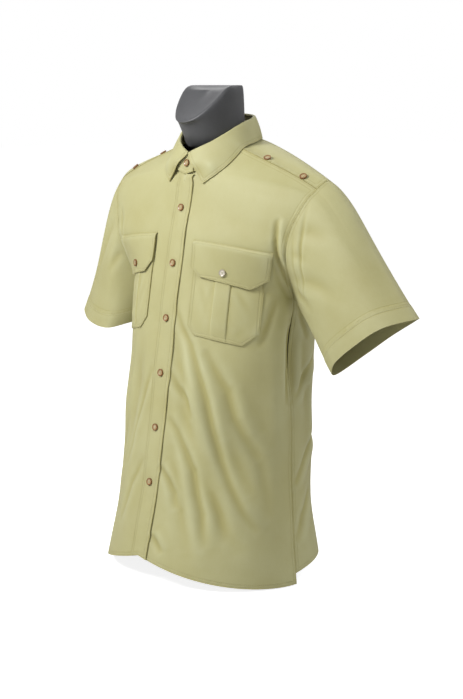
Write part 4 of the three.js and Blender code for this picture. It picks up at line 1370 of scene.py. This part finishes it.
class SHIRT_OT_buttons(bpy.types.Operator):
    """Make the four-hole buttons with their thread, each on its own place"""

    bl_idname = "shirt.buttons"
    bl_label = "Buttons"

    def execute(self, context):
        trim = context.scene.shirt_trim
        horn = shared_material("horn", horn_material, "button_horn", trim.horn, (0.52, 0.40, 0.21))
        pale = shared_material("pale", horn_material, "button_pale", (0.56, 0.50, 0.38), (0.78, 0.72, 0.62))
        thread = shared_material("thread", thread_material)
        button, knot = self.button(trim), self.knot()
        trees = [tree_of(piece.name) for piece in bpy.data.objects if piece.name.startswith("cloth_")]
        for node in sorted(frame["nodes"]):
            if not node.startswith("button_"):
                continue
            place = self.place_of(node, trees)
            disc, tied = button.data.copy(), knot.data.copy()
            disc.transform(place)
            tied.transform(place)
            colour = pale if node == "button_flap_left" else horn
            declare(new_piece(f"{node}_disc", disc, colour), node)
            declare(new_piece(f"{node}_thread", tied, thread))
        bpy.data.objects.remove(button)
        bpy.data.objects.remove(knot)
        return {"FINISHED"}

    @staticmethod
    def place_of(node, trees):
        """Where a button sits: on the cloth below its solid, facing the way its solid faces."""
        mesh = frame["nodes"][node].data
        corners = np.array([vertex.co for vertex in mesh.vertices])
        corners = np.unique(corners.round(6), axis=0)
        middle = (corners.min(0) + corners.max(0)) / 2
        _, _, axes = np.linalg.svd(corners - corners.mean(0))
        normal = axes[2]
        outward = np.array([middle[0], middle[1], LEAN if middle[2] > LEAN_ABOVE else 0.0])
        if normal @ outward < 0:
            normal = -normal
        start = Vector(middle + normal * BUTTON_REACH)
        falls = [tree.ray_cast(start, Vector(-normal), 2 * BUTTON_REACH)[3] for tree in trees]
        falls = [fall for fall in falls if fall is not None]
        if not falls:
            raise RuntimeError(f"no cloth under {node}")
        foot = start - Vector(normal) * (min(falls) - BUTTON_GAP)
        turn = Vector((0, 0, 1)).rotation_difference(Vector(normal)).to_matrix().to_4x4()
        return Matrix.Translation(foot) @ turn

    @staticmethod
    def button(trim):
        """A dished disc with a rolled rim and four holes, standing on the origin."""
        bpy.ops.object.select_all(action="DESELECT")
        bpy.ops.mesh.primitive_cylinder_add(
            vertices=trim.button_sides, radius=trim.button_radius, depth=BUTTON_HEIGHT,
            location=(0, 0, BUTTON_HEIGHT / 2),
        )
        piece = bpy.context.object
        bpy.ops.object.transform_apply(location=True, rotation=True, scale=True)
        bpy.ops.object.mode_set(mode="EDIT")
        shape = bmesh.from_edit_mesh(piece.data)
        for face in shape.faces:
            face.select = face.normal.z > 0.9
        bmesh.update_edit_mesh(piece.data)
        bpy.ops.mesh.select_mode(type="FACE")
        for inward, down in DISH_STEPS:
            bpy.ops.mesh.inset(thickness=inward, depth=down)
        bpy.ops.object.mode_set(mode="OBJECT")
        for x, y in ((1, 1), (-1, 1), (-1, -1), (1, -1)):
            bpy.ops.mesh.primitive_cylinder_add(
                vertices=HOLE_SIDES, radius=HOLE_RADIUS, depth=HOLE_CUT,
                location=(x * HOLE_PLACE, y * HOLE_PLACE, BUTTON_HEIGHT / 2),
            )
            hole = bpy.context.object
            apply_modifier(piece, "BOOLEAN", object=hole, operation="DIFFERENCE", solver="EXACT")
            bpy.data.objects.remove(hole)
        apply_modifier(
            piece, "BEVEL", width=RIM_BEVEL, segments=3, limit_method="ANGLE", angle_limit=RIM_ANGLE,
        )
        select_only(piece)
        bpy.ops.object.shade_smooth_by_angle(angle=RIM_ANGLE)
        spread = np.array([math.hypot(vertex.co.x, vertex.co.y) for vertex in piece.data.vertices])
        height = np.array([vertex.co.z for vertex in piece.data.vertices])
        dish = ease((trim.button_radius - RIM_COLOURED - spread) / DISH_FADE) * (height > DISH_HEIGHT)
        attribute = piece.data.attributes.new("dish", "FLOAT", "POINT")
        attribute.data.foreach_set("value", dish.astype(np.float32))
        piece.data.materials.clear()
        return piece

    @staticmethod
    def knot():
        """Two bars of thread across the holes and a short shank to the cloth, standing on the origin."""
        parts = []
        for y in (HOLE_PLACE, -HOLE_PLACE):
            bpy.ops.mesh.primitive_cylinder_add(
                vertices=8, radius=BAR_RADIUS, depth=BAR_LENGTH, calc_uvs=False,
                location=(0, y, BAR_HEIGHT), rotation=(0, math.pi / 2, 0),
            )
            parts.append(bpy.context.object)
        bpy.ops.mesh.primitive_cone_add(
            vertices=10, radius1=SHANK_FOOT, radius2=SHANK_TOP, depth=SHANK_LENGTH, calc_uvs=False,
            location=(0, 0, SHANK_MIDDLE),
        )
        shank = bpy.context.object
        for part in parts:
            part.select_set(True)
        bpy.ops.object.transform_apply(location=True, rotation=True, scale=True)
        bpy.ops.object.join()
        smooth(shank.data)
        return shank

class SHIRT_OT_form(bpy.types.Operator):
    """Round the dress form and give it its jersey cover"""

    bl_idname = "shirt.form"
    bl_label = "Dress form"

    def execute(self, context):
        mesh = frame["nodes"]["dress_form"].data.copy()
        mesh.materials.clear()
        piece = new_piece("form_body", mesh, shared_material("form", form_material))
        select_only(piece)
        bpy.ops.object.mode_set(mode="EDIT")
        bpy.ops.mesh.select_all(action="SELECT")
        bpy.ops.mesh.remove_doubles(threshold=0.01 * MM)
        bpy.ops.mesh.tris_convert_to_quads()
        bpy.ops.object.mode_set(mode="OBJECT")
        apply_modifier(piece, "SUBSURF", levels=2, render_levels=2)
        smooth(piece.data)
        declare(piece, "dress_form")
        return {"FINISHED"}


FLOOR_SIZE = 30
FLOOR_DROP = 0.0005
FLOOR_GLOW = 0.86
CAMERA_AZIMUTH = 48.0
CAMERA_PITCH = 8.6
CAMERA_DISTANCE = 3.0
CAMERA_AIM = (0.019, 0.361)
CAMERA_LENS = 1810 / 699 * 36
# Azimuth, elevation, distance and width of each light, and its share of the key light's power
LIGHTS = {
    "key": (-18, 38, 2.0, 0.7, 1),
    "fill": (74, 38, 3.2, 1.8, 0.55),
    "rear": (150, 40, 3.0, 2.0, 0.75),
    "back": (235, 40, 3.2, 2.0, 0.5),
}
LIGHT_AIM = (0, 0, 0.4)


class SHIRT_OT_stage(bpy.types.Operator):
    """Set up the floor, the lights and the camera"""

    bl_idname = "shirt.stage"
    bl_label = "Stage"

    def execute(self, context):
        scene, stage = context.scene, context.scene.shirt_stage
        bpy.ops.object.select_all(action="DESELECT")
        bpy.ops.mesh.primitive_plane_add(size=FLOOR_SIZE, location=(0, 0, -FLOOR_DROP))
        floor = context.object
        floor.name = "floor"
        bpy.ops.object.transform_apply(location=True)
        paint, shader, start = new_material("pale_floor", 0.9, specular=0.1)
        speck = start.place().noise(3.0, 2.0)
        plug(blended(speck, darker(stage.floor, 0.99), stage.floor), shader, "Base Color")
        seen = start.node("ShaderNodeLightPath")
        plug(blended(seen, (0, 0, 0), (FLOOR_GLOW,) * 3), shader, "Emission Color")
        shader.inputs["Emission Strength"].default_value = 1
        floor.data.materials.append(paint)
        world = bpy.data.worlds.new("studio")
        world.use_nodes = True
        background = world.node_tree.nodes["Background"]
        sky = Wire(world.node_tree).node("ShaderNodeLightPath")
        plug(blended(sky, (stage.surround,) * 3, (1, 1, 1)), background, "Color")
        scene.world = world
        for name, (azimuth, elevation, distance, size, share) in LIGHTS.items():
            self.light(name, azimuth, elevation, distance, size, stage.key * share)
        self.camera(scene)
        scene.view_settings.view_transform = "Standard"
        return {"FINISHED"}

    @staticmethod
    def direction(azimuth, elevation):
        """From the object towards a light or the camera."""
        turn, rise = math.radians(azimuth), math.radians(elevation)
        return Vector((math.sin(turn) * math.cos(rise), -math.cos(turn) * math.cos(rise), math.sin(rise)))

    def light(self, name, azimuth, elevation, distance, size, power):
        data = bpy.data.lights.new(name, "AREA")
        data.energy = power
        data.shape = "DISK"
        data.size = size
        lamp = bpy.data.objects.new(name, data)
        back = self.direction(azimuth, elevation)
        lamp.location = Vector(LIGHT_AIM) + back * distance
        lamp.rotation_mode = "QUATERNION"
        lamp.rotation_quaternion = back.to_track_quat("Z", "Y")
        bpy.context.scene.collection.objects.link(lamp)

    def camera(self, scene):
        back = self.direction(CAMERA_AZIMUTH, CAMERA_PITCH)
        turn = math.radians(CAMERA_AZIMUTH)
        across, up = CAMERA_AIM
        aim = Vector((math.cos(turn) * across, math.sin(turn) * across, up))
        data = bpy.data.cameras.new("camera")
        data.lens = CAMERA_LENS
        data.sensor_width = 36
        camera = bpy.data.objects.new("camera", data)
        camera.rotation_mode = "QUATERNION"
        camera.rotation_quaternion = back.to_track_quat("Z", "Y")
        camera.location = aim + back * CAMERA_DISTANCE
        scene.collection.objects.link(camera)
        scene.camera = camera


class SHIRT_PT_panel(bpy.types.Panel):
    """Shows the shirt's settings and its steps in the sidebar"""

    bl_idname = "SHIRT_PT_panel"
    bl_label = "Military shirt"
    bl_space_type = "VIEW_3D"
    bl_region_type = "UI"
    bl_category = "Shirt"

    def draw(self, context):
        for settings in (context.scene.shirt_cloth, context.scene.shirt_trim, context.scene.shirt_stage):
            box = self.layout.box()
            for name in settings.bl_rna.properties.keys():
                if name not in ("rna_type", "name"):
                    box.prop(settings, name)
        for operator in OPERATORS:
            self.layout.operator(operator.bl_idname)


OPERATORS = [
    SHIRT_OT_body, SHIRT_OT_sleeves, SHIRT_OT_placket, SHIRT_OT_pockets, SHIRT_OT_collar,
    SHIRT_OT_stitching, SHIRT_OT_buttons, SHIRT_OT_form, SHIRT_OT_stage,
]
SETTINGS = {
    "shirt_cloth": ShirtClothSettings, "shirt_trim": ShirtTrimSettings, "shirt_stage": ShirtStageSettings,
}


def register():
    for made in [*SETTINGS.values(), *OPERATORS, SHIRT_PT_panel]:
        bpy.utils.register_class(made)
    for name, group in SETTINGS.items():
        setattr(bpy.types.Scene, name, PointerProperty(type=group))


def unregister():
    for name in SETTINGS:
        delattr(bpy.types.Scene, name)
    for made in [SHIRT_PT_panel, *reversed(OPERATORS), *reversed(SETTINGS.values())]:
        bpy.utils.unregister_class(made)


def main():
    register()
    for operator in OPERATORS:
        group, name = operator.bl_idname.split(".")
        getattr(getattr(bpy.ops, group), name)()


if __name__ == "__main__":
    main()
